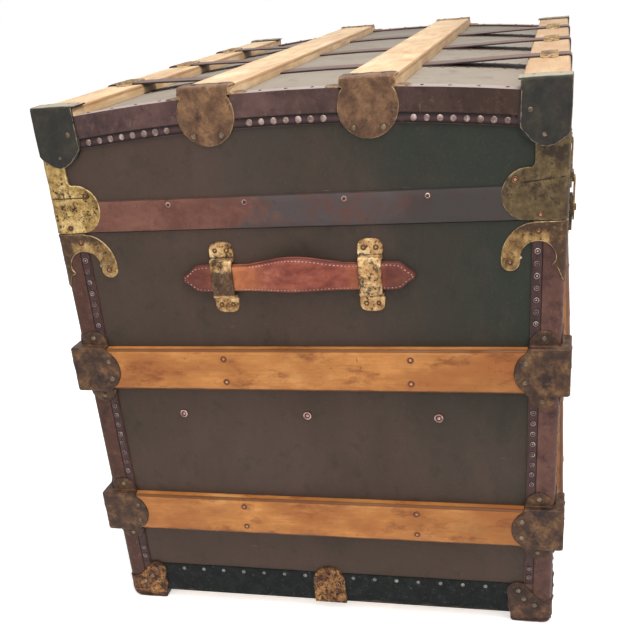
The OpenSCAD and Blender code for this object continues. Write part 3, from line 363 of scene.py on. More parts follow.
# Hooked corners, saddles, hasp and draw bolts: rubbed to a soft olive gold
finishes["hookBrass"] = metalFinish(
    "rubbedBrassPlate", ("#5a4026", "#7d603a", "#9c7c4e", "#c0a270"), ("#432c1e", 0.54), "#cdb488", 0.56)
# Shoes and back caps: rusted through the brass in dark craters, with rims painted dark as shade
finishes["shoeBrass"] = metalFinish(
    "rustedBrassPlate", ("#533420", "#7a5131", "#9c6f42", "#bd915a"), ("#30170d", 0.49), "#331d11", 0.515)
# Bronzed steel, dark brown: the slat clamps, the paler middle clamps of the lid and the scuffed front caps
# the slat clamps' rims are painted near black, as shade and grime round them
finishes["clampMetal"] = metalFinish(
    "bronzedSteel", ("#291c16", "#3f2b20", "#573d2a", "#7a5a3b"), ("#1e1314", 0.54), "#17100e", 0.62, 0.25)
finishes["lobeMetal"] = metalFinish(
    "rubbedBronzedSteel", ("#4a3326", "#5f4431", "#73543c", "#8c6a49"), ("#352422", 0.56), "#b59a72", 0.61,
    0.3)
finishes["capMetal"] = metalFinish(
    "scuffedBronzedSteel", ("#20130f", "#342118", "#4b3123", "#6f4e38"), ("#1a100f", 0.51), "#5a3d2d", 0.60,
    0.2)
# Black japanned steel of the lid's corner clamps, paled on top as a painted highlight
finishes["darkMetal"] = metalFinish(
    "blackJapannedSteel", ("#191814", "#23211c", "#2d2a23", "#3b372c"), ("#2c2022", 0.54), "#a89582", 0.66,
    # painted highlight: the tops are paled
    0.1, (0.5, 0.7), [stain("#a39a85", 0.80, 0.95, 0.85, kind="facing")])
# Hinges: steel browned all over
finishes["hinge"] = metalFinish(
    "brownedHingeSteel", ("#29231e", "#352d27", "#433930", "#56493c"), ("#3b2418", 0.54), "#8b7a62", 0.62)


# Small heads: metal rubbed pale in the middle, in a dark ring that the hollow mark gives, painted as grime
# and as shade in the hollow and round the foot
def headFinish(name, size, at, colours, grimeAndShade, rough, metal, wave=1.2, depth=0.15, more=()):
    return makeMaterial(name, {
        "tones": tones(size, at, colours, detail=5.0, mess=0.7),
        "stains": [*more, stain(*grimeAndShade, attribute="hollow")],
        "rough": rough, "metal": metal,
        "relief": [relief(wave, depth)],
    })


washAt = (0.32, 0.46, 0.58, 0.70)
# Copper-washed steel gone pinkish grey: a pale ring round a dark hollow
finishes["copper"] = headFinish(
    "greyedCopperWash", 7, (0.34, 0.46, 0.56, 0.68), ("#6d4840", "#946c64", "#bb958c", "#e4ccc4"),
    ("#0e0808", 0.2, 0.7, 1.0), (0.32, 0.52), 0.5,
    more=[stain("#6b5a57", 0.55, 0.66, 0.5, size=30, detail=3.0, shift=(2, 2, 9))])
# Rivets of the plates and shoes: reddish copper wash
finishes["copperWash"] = headFinish(
    "reddishCopperWash", 7, washAt, ("#5c3a24", "#845636", "#a87650", "#cfa27c"),
    ("#22100a", 0.12, 0.55, 1.0), (0.32, 0.52), 0.45)
# Iron nails: grey-brown
finishes["nail"] = headFinish(
    "brownedIron", 9, washAt, ("#3b3128", "#5a4b3c", "#786652", "#9c8a70"), ("#1b1410", 0.2, 0.8, 0.9),
    (0.35, 0.55), 0.65, 1.0)
# Screws of the slats, copper wash with rust-red rings, and the loops' rivets, brassed and grimy, their
# hollows also painted dark as shade
for label, name, colours in (
        ("slatScrew", "rustedCopperWash", ("#8a4f28", "#a8683a", "#c4885a", "#dba87c")),
        ("loopRivet", "grimyBrassPlate", ("#6b4a26", "#94703c", "#b8924f", "#d9b87c"))):
    finishes[label] = headFinish(name, 7, washAt, colours, ("#3a170b", 0.12, 0.45, 1.0), (0.34, 0.55), 0.4)
# Domed nails of the bindings: dull pinkish grey
finishes["domeNail"] = headFinish(
    "dulledCopperWash", 8, (0.36, 0.48, 0.58, 0.68), ("#54403b", "#77605a", "#9a847c", "#c2b0a8"),
    ("#140b0a", 0.1, 0.5, 1.0), (0.34, 0.5), 0.4, depth=0.2)
# Tinned nails of the bottom binding: dull pale grey
finishes["paleNail"] = headFinish(
    "tinnedIron", 9, (0.32, 0.5, 0.68), ("#4c4843", "#716c66", "#99948d"), ("#15120f", 0.2, 0.8, 0.9),
    (0.35, 0.55), 0.4, 1.0)

# Black japanned sheet iron round the bottom: chipped enamel over rust
finishes["blackSheet"] = makeMaterial("chippedBlackEnamel", {
    "tones": tones(14, (0.32, 0.5, 0.68), ("#0d0f0f", "#161918", "#242726"), detail=7.0, mess=0.7),
    "stains": [
        stain("#5e6a66", 0.57, 0.66, 0.8, size=6, detail=9.0, mess=0.85),
        stain("#43352a", 0.62, 0.74, 0.7, size=22, detail=8.0, mess=0.8, shift=(5, 1, 1)),
        stain("#8d9a95", 0.68, 0.72, 0.9, size=3, detail=6.0, mess=0.8, shift=(2, 1, 8)),
    ],
    "rough": (0.4, 0.6), "gleam": 0.1,
    "relief": [relief(9, 1.4, 0.8, detail=6.0, mess=0.7), relief(2.0, 0.3)],
})

# Harness leather: oiled red-brown hide, pale where it bends and dark along the cut edge
finishes["leather"] = makeMaterial("oiledHarnessLeather", {
    "tones": tones(15, (0.3, 0.45, 0.57, 0.7), ("#5c261d", "#7c3d30", "#914f3f", "#b26c50"), detail=7.0,
                   mess=0.68, stretch=(1, 2, 1)),
    "stains": [
        stain("#c87a49", 0.18, 0.62, 0.8, attribute="bright", size=16, detail=6.0, mess=0.7),
        stain("#42201c", 0.1, 0.85, 1.0, attribute="dark"),
        stain("#5a2a22", 0.58, 0.70, 0.5, size=4, detail=6.0, mess=0.8),
    ],
    "rough": (0.42, 0.6), "gleam": 0.25,
    "relief": [relief(1.3, 0.18, kind="cells"), relief(9, 0.6, detail=5.0)],
})
# Waxed linen thread, off-white
finishes["thread"] = makeMaterial("waxedLinenThread", {
    "tones": tones(30, (0.36, 0.5, 0.66), ("#6b4438", "#a58374", "#d6c4b6"), detail=7.0, mess=0.8),
    "rough": (0.6, 0.6),
    "relief": [relief(0.6, 0.08)],
})
print("materials made:", len(finishes))


# Mesh tools; all points are in millimetres until they become an object

def merge(parts):
    # several (points, faces, marks) become one
    points, faces, marks = [], [], {}
    for somePoints, someFaces, someMarks in parts:
        start = len(points)
        points += list(somePoints)
        faces += [tuple(i + start for i in face) for face in someFaces]
        for key, values in someMarks.items():
            marks.setdefault(key, []).extend(values)
    return points, faces, marks


def finishObject(name, parts, body, look, slot, stands=(), sharp=40):
    points, faces, marks = merge(parts)
    mesh = bpy.data.meshes.new(name)
    mesh.from_pydata([(x * mm, y * mm, z * mm) for x, y, z in points], [], faces)
    mesh.update()
    work = bmesh.new()
    work.from_mesh(mesh)
    bmesh.ops.recalc_face_normals(work, faces=work.faces)
    work.to_mesh(mesh)
    work.free()
    for key, values in marks.items():
        mesh.attributes.new(key, "FLOAT", "POINT").data.foreach_set("value", np.asarray(values, np.float32))
    mesh.shade_smooth()
    mesh.set_sharp_from_angle(angle=math.radians(sharp))
    made = bpy.data.objects.new(name, mesh)
    bpy.context.scene.collection.objects.link(made)
    mesh.materials.append(finishes[look])
    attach(made, body)
    if stands:
        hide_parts(*stands)


def mirrored(part, sx, sy):
    points, faces, marks = part
    turned = [(x * sx, y * sy, z) for x, y, z in points]
    if sx * sy < 0:
        faces = [tuple(reversed(face)) for face in faces]
    return turned, faces, marks


def onBothEnds(part):
    return [part, mirrored(part, -1, 1)]


def onCorners(part, sides=(-1, 1)):
    # a part made for the corner towards +X and +Y, on the corners of the sides named
    return [mirrored(part, sx, sy) for sx in (-1, 1) for sy in sides]


def smooth(v, low, high):
    t = min(1, max(0, (v - low) / (high - low)))
    return t * t * (3 - 2 * t)


def hump(v, at, wide):
    # a bell of height 1 round a place
    return math.exp(-((v - at) / wide) ** 2)


def dents(p, s, size, depth, seed):
    return noise.fractal(Vector((p / size, s / size, seed)), 1.0, 2.0, 3) * depth


def arc(cx, cy, r, start, end, step=2.0):
    count = max(3, math.ceil(abs(math.radians(end - start)) * r / step))
    turns = [math.radians(start + (end - start) * k / count) for k in range(count + 1)]
    return [(cx + r * math.cos(a), cy + r * math.sin(a)) for a in turns]


def densify(loop, step):
    out = []
    for a, b in zip(loop, loop[1:] + loop[:1]):
        length = math.dist(a, b)
        if length < 1e-6:
            continue
        count = max(1, round(length / step))
        out += [(a[0] + (b[0] - a[0]) * k / count, a[1] + (b[1] - a[1]) * k / count) for k in range(count)]
    # every loop runs anticlockwise, so that its inside lies to the left
    if sum(a[0] * b[1] - b[0] * a[1] for a, b in zip(out, out[1:] + out[:1])) <= 0:
        out.reverse()
    return out


def inset(loop, depth, reach=1):
    # each point moved inward, square to the line between its neighbours
    row = []
    for k, here in enumerate(loop):
        after, before = loop[(k + reach) % len(loop)], loop[k - reach]
        dx, dy = after[0] - before[0], after[1] - before[1]
        size = math.hypot(dx, dy) or 1
        row.append((here[0] - dy / size * depth, here[1] + dx / size * depth))
    return row


def edgeDistance(points, loop):
    p = np.asarray(points)[:, None, :]
    a = np.asarray(loop)[None]
    d = np.roll(a, -1, axis=1) - a
    t = np.clip(((p - a) * d).sum(2) / (d ** 2).sum(2), 0, 1)
    near = a + t[..., None] * d
    return np.sqrt(((p - near) ** 2).sum(2)).min(1)


def isInside(points, loop):
    p = np.asarray(points)
    hit = np.zeros(len(p), bool)
    a = np.asarray(loop)
    for (ax, ay), (bx, by) in zip(a, np.roll(a, -1, axis=0)):
        if ay != by:
            cross = (ay > p[:, 1]) != (by > p[:, 1])
            hit ^= cross & (p[:, 0] < (bx - ax) * (p[:, 1] - ay) / (by - ay) + ax)
    return hit


def sheetTriangles(outline, step, rings, extra):
    # fills an outline: rows that follow its edge, a grid inside them, and the extra points
    loop = densify(list(outline), step)
    inner = []
    for depth in rings:
        ring = inset(loop, depth)
        keep = isInside(ring, loop) & (edgeDistance(ring, loop) > depth * 0.94)
        inner += [point for point, good in zip(ring, keep) if good]
    xs, ys = [p[0] for p in loop], [p[1] for p in loop]
    pitch = step * 1.25
    grid = [(min(xs) + (i + 0.5 * (j % 2)) * pitch, min(ys) + j * pitch * 0.87)
            for j in range(int((max(ys) - min(ys)) / pitch / 0.87) + 2)
            for i in range(int((max(xs) - min(xs)) / pitch) + 2)]
    grid += list(extra)
    keep = isInside(grid, loop) & (edgeDistance(grid, loop) > rings[-1] + 0.5 * step)
    inner += [point for point, good in zip(grid, keep) if good]
    edges = [(k, (k + 1) % len(loop)) for k in range(len(loop))]
    made = geometry.delaunay_2d_cdt([Vector(p) for p in loop + inner], edges, [], 0, 1e-4)
    points = [(v.x, v.y) for v in made[0]]
    faces = [f for f in made[2] if len(f) == 3]
    middle = [(sum(points[i][0] for i in f) / 3, sum(points[i][1] for i in f) / 3) for f in faces]
    faces = [tuple(f) for f, good in zip(faces, isInside(middle, loop)) if good]
    used = sorted({i for f in faces for i in f})
    order = {old: new for new, old in enumerate(used)}
    points = [points[i] for i in used]
    return points, [tuple(order[i] for i in f) for f in faces], edgeDistance(points, loop)


def pressedSheet(outline, place, thickness, step=2.2, rim=0.7, rings=(0.25, 0.7, 1.6, 3.0), shape=None,
                 extra=(), sides=()):
    # Outline in the flat -> triangles with a rounded rim -> place() bends them into the room.
    # shape(p, s, d) gives the relief, sides the rings of the edge as (inset, depth).
    points, faces, away = sheetTriangles(outline, step, rings, extra)
    lift = []
    for (p, s), d in zip(points, away):
        up = -(rim - math.sqrt(max(0, rim * rim - (rim - d) ** 2))) if d < rim else 0
        lift.append(up + (shape(p, s, d) if shape else 0))
    solid = [place(p, s, up) for (p, s), up in zip(points, lift)]
    border = {}
    for f in faces:
        for a, b in zip(f, f[1:] + f[:1]):
            border[(a, b)] = border.get((a, b), 0) + 1
    border = [pair for pair in border if (pair[1], pair[0]) not in border]
    turn = {}
    for a, b in border:
        dx, dy = points[b][0] - points[a][0], points[b][1] - points[a][1]
        for i in (a, b):
            old = turn.get(i, (0, 0))
            turn[i] = (old[0] - dy, old[1] + dx)
    rows = [{i: i for i in turn}]
    # nearness to the rim: the finishes paint it as wear, and as painted shade or highlight along the edges
    edgeWearAndShading = [max(0.0, 1 - d / 2.2) for d in away]
    for inward, depth in sides:
        row = {}
        for i, (nx, ny) in turn.items():
            size = math.hypot(nx, ny) or 1
            row[i] = len(solid)
            p, s = points[i]
            solid.append(place(p + nx / size * inward, s + ny / size * inward, lift[i] - depth))
            edgeWearAndShading.append(0.4)
        rows.append(row)
    base = len(solid)
    solid += [place(p, s, min(up, 0) - thickness) for (p, s), up in zip(points, lift)]
    edgeWearAndShading += [0.0] * len(points)
    rows.append({i: base + i for i in turn})
    shell = faces + [tuple(base + i for i in reversed(f)) for f in faces]
    for upper, lower in zip(rows, rows[1:]):
        shell += [(upper[b], upper[a], lower[a], lower[b]) for a, b in border]
    return solid, shell, {"edgeWearAndShading": edgeWearAndShading}


def bentCorner(off, radius, p, lift):
    # Unrolled distance p from the edge of a bound corner to (out over the end, across the end)
    reach, start = 8.0, thick - off + radius
    half = radius * math.pi / 4
    a = abs(p)
    h = off + lift
    if a < reach:
        s = a / reach * (reach - start + half)
        if s < half:
            turn = math.pi / 4 - s / radius
            r = radius + lift
            c = off - radius
            out, across = c + r * math.cos(turn), -(c + r * math.sin(turn))
            return (out, across) if p >= 0 else (-across, -out)
        a = start + s - half
    return (h, a - thick) if p >= 0 else (thick - a, -h)


def foldedSection(s, box):
    # distance along a folded box section -> (place across, height) and the surface's normal there
    half, fold, high, low, toe = (box[k] for k in ("half", "fold", "high", "low", "toe"))
    a, sign = abs(s), (1 if s >= 0 else -1)
    flat, bend = half - fold, fold * math.pi / 2
    wall = high - fold - low - toe
    if a < flat:
        return s, high, 0, 1
    if a < flat + bend:
        t = (a - flat) / fold
        across, height = flat + fold * math.sin(t), high - fold + fold * math.cos(t)
        return sign * across, height, sign * math.sin(t), math.cos(t)
    if a < flat + bend + wall:
        return sign * half, high - fold - (a - flat - bend), sign, 0
    t = (a - flat - bend - wall) / toe
    if t < math.pi / 2:
        across, height = half + toe * (1 - math.cos(t)), low + toe * (1 - math.sin(t))
        return sign * across, height, sign * math.cos(t), math.sin(t)
    return sign * (half + toe + (t - math.pi / 2) * toe), low, 0, 1


def foldEnd(box):
    # where the folded section lies flat again
    half, fold, high, low, toe = (box[k] for k in ("half", "fold", "high", "low", "toe"))
    return half - fold + fold * math.pi / 2 + high - fold - low - toe + box["toeTurn"]


# Fastener heads: a profile of (radius share, height share, hollow) turned round, laid on its place; hollow is
# how dark the finish paints it, as grime and as shade in the hollow and round the foot
headShapes = {
    "ring": [(1, 0, 0.8), (1, 0.4, 0.3), (0.92, 0.8, 0), (0.78, 1.0, 0), (0.64, 0.95, 0), (0.5, 0.5, 0.9),
             (0.36, 0.3, 1), (0.2, 0.4, 0.6), (0, 0.45, 0.4)],
    "boss": [(1, 0, 0.95), (1, 0.3, 0.8), (0.86, 0.8, 0.1), (0.7, 0.85, 0), (0.54, 0.45, 0.95),
             (0.38, 0.5, 0.6), (0.22, 0.9, 0), (0, 1.0, 0)],
    "screw": [(1, 0, 0.6), (1, 0.3, 0.5), (0.84, 0.8, 0.32), (0.66, 0.8, 0.4), (0.54, 0.45, 0.95),
              (0.4, 0.55, 0.1), (0.22, 0.85, 0), (0, 0.95, 0)],
    "dome": [(1, 0, 0.6), (1, 0.3, 0.1), (0.9, 0.62, 0), (0.65, 0.9, 0), (0.33, 1.05, 0), (0, 1.1, 0)],
}


def heads(places, kind, seed, sides=14):
    rng = random.Random(seed)
    parts = []
    for centre, out, radius, height in places:
        out = Vector(out)
        side = out.orthogonal().normalized()
        other = out.cross(side)
        tilt = Vector((rng.uniform(-0.07, 0.07), rng.uniform(-0.07, 0.07)))
        spin = rng.uniform(0, 6.28)
        grow = rng.uniform(0.93, 1.06)
        points, faces, hollow = [], [], []
        profile = headShapes[kind]
        for share, up, dark in profile[:-1]:
            for k in range(sides):
                a = spin + 2 * math.pi * k / sides
                u, v = math.cos(a) * share * radius * grow, math.sin(a) * share * radius * grow
                rise = up * height * (1 + tilt.x * math.cos(a) * 2) + (u * tilt.x + v * tilt.y if up else 0)
                points.append(tuple(Vector(centre) + side * u + other * v + out * max(0, rise)))
                hollow.append(dark)
        points.append(tuple(Vector(centre) + out * profile[-1][1] * height))
        hollow.append(profile[-1][2])
        last = len(points) - 1
        for row in range(len(profile) - 2):
            for k in range(sides):
                a, b = row * sides + k, row * sides + (k + 1) % sides
                faces.append((a, b, b + sides, a + sides))
        start = (len(profile) - 2) * sides
        faces += [(start + k, start + (k + 1) % sides, last) for k in range(sides)]
        faces.append(tuple(reversed(range(sides))))
        parts.append((points, faces, {"hollow": hollow}))
    return parts


def headPlaces(node):
    # where a CAD node's fastener heads sit: centre of the base, direction, radius, height
    work = bmesh.new()
    work.from_mesh(nodes[node].data)
    bmesh.ops.remove_doubles(work, verts=work.verts, dist=2e-5)
    left, places = set(work.verts), []
    while left:
        group, todo = set(), [next(iter(left))]
        while todo:
            v = todo.pop()
            if v in group:
                continue
            group.add(v)
            todo += [e.other_vert(v) for e in v.link_edges]
        left -= group
        co = np.array([v.co for v in group]) / mm
        lo, hi = co.min(0), co.max(0)
        axis = int(np.argmin(hi - lo))
        rest = [i for i in range(3) if i != axis]
        middle = (lo + hi) / 2
        spans = []
        for level in (lo[axis], hi[axis]):
            ring = co[abs(co[:, axis] - level) < 0.02]
            spans.append(np.hypot(*(ring[:, rest] - middle[rest]).T).max())
        out = [0, 0, 0]
        out[axis] = 1 if spans[0] > spans[1] else -1
        middle[axis] = lo[axis] if out[axis] > 0 else hi[axis]
        places.append((tuple(middle), tuple(out), max(spans), hi[axis] - lo[axis]))
    work.free()
    return sorted(places)


def wornBar(at, along, across, out, length, width, low, high, seed=0, radius=2.0, station=11.0, chip=0.7,
            pitch=7.0):
    # A sawn bar with rubbed edges. low and high are its faces' heights; low may follow the place across
    along, across, out, at = Vector(along), Vector(across), Vector(out), Vector(at)
    half = width / 2
    flat = width - 2 * radius
    lowAt = low if callable(low) else (lambda a: low)
    # the section as (place across, share of the height, depth below it)
    section = [(-half, 0, 0), (-half, 0.5, 0)]
    for k in range(5):
        t = math.pi / 2 * k / 4
        section.append((-half + radius * (1 - math.cos(t)), 1, radius * (1 - math.sin(t))))
    steps = max(3, round(flat / pitch))
    section += [(-half + radius + flat * k / steps, 1, 0) for k in range(1, steps)]
    section += [(-a, f, r) for a, f, r in reversed(section[:7])]
    count = max(4, round(length / station))
    spots = [0, 0.6, 1.6] + [length * k / count for k in range(1, count)]
    spots += [length - 1.6, length - 0.6, length]
    points, faces, edgeWearAndShading = [], [], []
    for t in spots:
        nearEnd = min(t, length - t)
        pull = 1.4 * (1 - smooth(nearEnd, 0, 1.6))
        for a, f, r in section:
            rounded = f == 1 and r > 0
            edge = 1 if r > 0.3 * radius or rounded else 0
            rub = abs(noise.fractal(Vector((t / 30, a * 3, seed + 0.5)), 0.8, 2.0, 4)) * chip * rounded
            wave = noise.noise(Vector((t / 60, a / 30, seed))) * 0.35 * f
            lower = lowAt(a)
            place = a * (1 - pull / half * 0.5) - math.copysign(rub, a)
            lift = lower + (high - lower) * f - r - rub * 0.8 + wave - pull * f * 0.7
            points.append(tuple(at + along * t + across * place + out * lift))
            edgeWearAndShading.append(max(edge, 1 - nearEnd / 3 if nearEnd < 3 else 0))
    return points, tubeFaces(len(spots), len(section)), {"edgeWearAndShading": edgeWearAndShading}


def tubeFaces(rows, around):
    # rows of points round a tube, with both ends closed
    faces = []
    for i in range(rows - 1):
        for k in range(around):
            a, b = i * around + k, i * around + (k + 1) % around
            faces.append((a, b, b + around, a + around))
    faces.append(tuple(reversed(range(around))))
    faces.append(tuple((rows - 1) * around + k for k in range(around)))
    return faces


def softenNode(name, look, width, segments):
    # a CAD node stays as it is, with its edges eased by modifiers
    node = nodes[name]
    node.data.materials.clear()
    node.data.materials.append(finishes[look])
    weld = node.modifiers.new("weld", "WELD")
    weld.merge_threshold = 1e-5
    flat = node.modifiers.new("flat", "DECIMATE")
    flat.decimate_type = "DISSOLVE"
    flat.angle_limit = math.radians(1)
    bevel = node.modifiers.new("ease", "BEVEL")
    bevel.width = width * mm
    bevel.segments = segments
    bevel.limit_method = "ANGLE"
    bevel.angle_limit = math.radians(30)
    bevel.harden_normals = False


# Boards, canvas and lining, and the CAD pieces that keep their form

for look, width, segments, names in (
        ("board", 0.5, 2, ("bottom_board", "front_board", "back_board", "left_board", "right_board",
                           "lid_top_board", "lid_front_board", "lid_back_board", "lid_left_board",
                           "lid_right_board", "bottom_runner")),
        ("lining", 0.3, 1, ("base_lining", "lid_lining")),
        ("canvas", 0.4, 1, ("base_canvas", "lid_canvas")),
        ("fibre", 0.45, 2, ("vertical_bindings",)),
        ("lidFibre", 0.5, 2, ("lid_edge_bindings",)),
        ("hinge", 0.4, 2, ("hinge_base_leaves", "hinge_lid_leaves", "hinge_pins")),
        ("dullBrass", 0.5, 2, ("lock_body", "draw_bolt_keepers", "hasp_plate", "draw_bolt_plates")),
        ("hookBrass", 0.5, 2, ("lock_hasp", "left_draw_bolt", "right_draw_bolt")),
        ("darkMetal", 0.9, 3, ("lid_corner_clamps",)),
        ("shoeBrass", 0.4, 2, ("runner_end_clamps",))):
    for name in names:
        softenNode(name, look, width, segments)
print("boards, canvas and bindings dressed")


# The sunk strips beside the bindings, and the band round the lid's lower edge

sunk = {"middle": 27.5, "width": 9.6, "low": -0.3, "high": 0.45, "seat": 1.8, "foot": 56.0, "topGap": 1.0,
        "edgeRadius": 0.3, "chip": 0.2}
lidStrip = {"down": 28.5, "seat": 2.25, "thick": 0.6, "crownEnd": 33.0, "sideEnd": 30.0}
# low and high are distances off the board
band = {"foot": 502.4, "width": 34.0, "low": 0.05, "high": 2.0, "edgeRadius": 0.7, "chip": 0.35}


def flatStrip(at, along, across, out, length, size, seed):
    return wornBar(at, along, across, out, length, size["width"], size["low"], size["high"], seed=seed,
                   radius=size["edgeRadius"], chip=size["chip"])


inward = thick - sunk["middle"]
length = trunk["seam"] - sunk["topGap"] - sunk["foot"]
parts = []
for sx in (-1, 1):
    for sy in (-1, 1):
        atEnd = (sx * (hx + sunk["seat"]), sy * (hy + inward), sunk["foot"])
        atSide = (sx * (hx + inward), sy * (hy + sunk["seat"]), sunk["foot"])
        parts.append(flatStrip(atEnd, (0, 0, 1), (0, 1, 0), (sx, 0, 0), length, sunk, sx + 3 * sy))
        parts.append(flatStrip(atSide, (0, 0, 1), (1, 0, 0), (0, sy, 0), length, sunk, sx + 5 * sy))
finishObject("bindingStrips", parts, "base", "strip", "fibre", (), 60)


def lidStripZ(y):
    # the middle of the lid's sunk strip, which follows the crown
    return crownZ(y) + thick - lidStrip["down"]


reach, half = hy + thick - lidStrip["crownEnd"], sunk["width"] / 2
sheet = pressedSheet([(-reach, -half), (reach, -half), (reach, half), (-reach, half)],
                     lambda y, s, lift: (hx + lidStrip["seat"] + lift, y, lidStripZ(y) + s),
                     lidStrip["thick"], step=4.0, rim=0.3, rings=(0.3, 0.9))
start = hx - lidStrip["sideEnd"]
parts = onBothEnds(sheet)
for sy in (-1, 1):
    at = (-start, sy * (hy + sunk["seat"]), lidStripZ(hy))
    parts.append(flatStrip(at, (1, 0, 0), (0, 0, 1), (0, sy, 0), 2 * start, sunk, sy))
finishObject("lidStrips", parts, "lid", "strip", "fibre", (), 60)

middle, reach = band["foot"] + band["width"] / 2, hy + band["high"]
parts = []
for s in (-1, 1):
    parts.append(flatStrip((s * hx, -reach, middle), (0, 1, 0), (0, 0, 1), (s, 0, 0), 2 * reach, band,
                           70 + s))
    parts.append(flatStrip((-hx, s * hy, middle), (1, 0, 0), (0, 0, 1), (0, s, 0), 2 * hx, band, 75 + s))
finishObject("lidBands", parts, "lid", "band", "fibre", ["lid_lower_bands"], 50)
print("strips and bands made")


# Slats

slats = {"seat": 0.1, "edgeRadius": 3.4, "lidEdgeRadius": 2.2, "chip": 0.8, "screwYs": (-119.0, 99.0),
         "screwUp": 14.3, "rustReach": 13.0}
w, high = trunk["slatWidth"], trunk["slatThick"]
parts = []
for row, z in enumerate(trunk["slatHeights"]):
    # rust runs from the screws into the wood, less on the upper slats
    reach = slats["rustReach"] - 6 * row
    spots = [(y, z + up * slats["screwUp"]) for y in slats["screwYs"] for up in (-1, 1)]
    for sx in (-1, 1):
        bar = wornBar((sx * hx, -hy - thick, z), (0, 1, 0), (0, 0, 1), (sx, 0, 0), 2 * (hy + thick), w,
                      slats["seat"], high, seed=row * 7 + sx, radius=slats["edgeRadius"], chip=slats["chip"],
                      station=5.0, pitch=3.5)
        bar[2]["rust"] = [max(0, 1 - min(math.hypot((y - a) * 0.55, h - b) for a, b in spots) / reach)
                          for _, y, h in bar[0]]
        parts.append(bar)
finishObject("endSlats", parts, "base", "slatY", "slat_wood", ["end_slats"], 50)
end = hx + high
for sy, label in ((-1, "front"), (1, "back")):
    parts = [wornBar((-end, sy * hy, z), (1, 0, 0), (0, 0, 1), (0, sy, 0), 2 * end, w, slats["seat"], high,
                     seed=20 + row * 7 + sy, radius=slats["edgeRadius"], chip=slats["chip"])
             for row, z in enumerate(trunk["slatHeights"])]
    finishObject(label + "Slats", parts, "base", "slatX", "slat_wood", [label + "_slats"], 50)
# the lid's slats: distance from the middle, width and top
lidSlats = {"middle": (trunk["lidSlatY"], 58.0, trunk["lidSlatTop"]),
            "outer": (trunk["outerSlatY"], 47.0, trunk["outerSlatTop"])}
for label, (y, width, top) in lidSlats.items():
    parts = [wornBar((-hx - thick, sy * y, 0), (1, 0, 0), (0, 1, 0), (0, 0, 1), 2 * (hx + thick), width,
                     lambda a, y=y, sy=sy: crownZ(sy * y + a, 0.2), top, seed=50 + sy + y,
                     radius=slats["lidEdgeRadius"], chip=slats["chip"]) for sy in (-1, 1)]
    finishObject(label + "LidSlats", parts, "lid", "lidSlat", "slat_wood", [f"lid_{label}_slats"], 50)
print("slats made")


# Pressed corner plates. An outline runs over (p, s): p from the corner's edge, s the height

def cornerPlate(wing, dip, thickness, shape, extra, step=2.2):
    # wing is the outline for p >= 0, from its lower to its upper end; dip(p, z) lets it down off the binding
    def place(p, z, lift):
        out, across = bentCorner(trunk["plateOff"], trunk["plateBend"], p, lift - dip(p, z))
        return hx + out, hy - across, z
    outline = wing + [(-p, s) for p, s in reversed(wing)]
    return pressedSheet(outline, place, thickness, shape=shape, extra=extra, step=step)


def cornerColumns(low, high, pitch=2.6):
    # columns of points that lie close near the edge, where the plate bends
    columns = (0, 0.4, 0.8, 1.2, 1.8, 2.6, 3.4, 4.2, 5.0, 5.8)
    return [(s * c, z + (0.5 * pitch if k % 2 else 0)) for z in np.arange(low, high, pitch)
            for k, c in enumerate(columns) for s in (-1, 1)]


brassCorner = {"lobe": 528.4, "radius": 26.0, "low": 502.4, "high": 588.0, "thick": 2.2, "neckIn": 6.5,
               "fold": 541.0, "dents": 0.45}


def brassWing(cx):
    # a round lobe about cx that narrows to an upright neck
    cz, r, low, high = (brassCorner[k] for k in ("lobe", "radius", "low", "high"))
    neck = cx - brassCorner["neckIn"]
    notch = math.degrees(math.asin((neck - cx) / r))
    wing = [(0, low), (cx, low)] + arc(cx, cz, r, -90, 90 - notch - 8)
    x, z = wing[-1]
    return wing + [(neck + 1.5, z + 1.2), (neck, z + 4), (neck, high), (0, high)]


def creaseAt(p, z, front):
    # dents where the plate was folded over the band: one across, and an upright one at the back
    a, fold = abs(p), brassCorner["fold"]
    across = fold + 0.5 - 0.12 * (a - 30) if front else fold
    lines = hump(z, across, 0.9) * smooth(a, 0, 6) * (1 - smooth(a, 44, 52))
    if not front:
        lines = max(lines, hump(a, 18.5 + 0.08 * (z - fold), 0.8) * smooth(z, 514, 520))
    return lines


def brassDip(p, z):
    return 1.5 * smooth(abs(p), 14, 36)


for label, sy, cx, look, stands in (("back", 1, 31.0, "brightBrass", ["brass_corners"]),
                                    ("front", -1, 38.5, "dullBrass", [])):
    front = sy < 0

    def brassShape(p, z, d, front=front):
        up = dents(p, z, 17, brassCorner["dents"], 3.1) + 0.45 * hump(d, 1.6, 0.9)
        return (up - 0.7 * creaseAt(p, z, front)) * smooth(d, 0, 1.2)

    lines = [(s * a, z) for a in np.arange(6, 50, 1.6) for z in (539.8, 540.7, 541.6, 542.5) for s in (-1, 1)]
    plate = cornerPlate(brassWing(cx), brassDip, brassCorner["thick"], brassShape,
                        cornerColumns(504, 587) + lines)
    # the crease shows dark too
    edgeX, edgeY = hx + trunk["plateOff"], hy + trunk["plateOff"]
    plate[2]["crease"] = [creaseAt(max(edgeX - x, edgeY - y), z, front) for x, y, z in plate[0]]
    finishObject(label + "BrassCorners", onCorners(plate, (sy,)), "lid", look, "brass_plate", stands)

hook = {"centre": (27.0, 463.6), "outer": 37.5, "inner": 18.0, "tip": 9.8, "tipAt": (54.7, 460.0),
        "top": 501.6, "thick": 1.6}


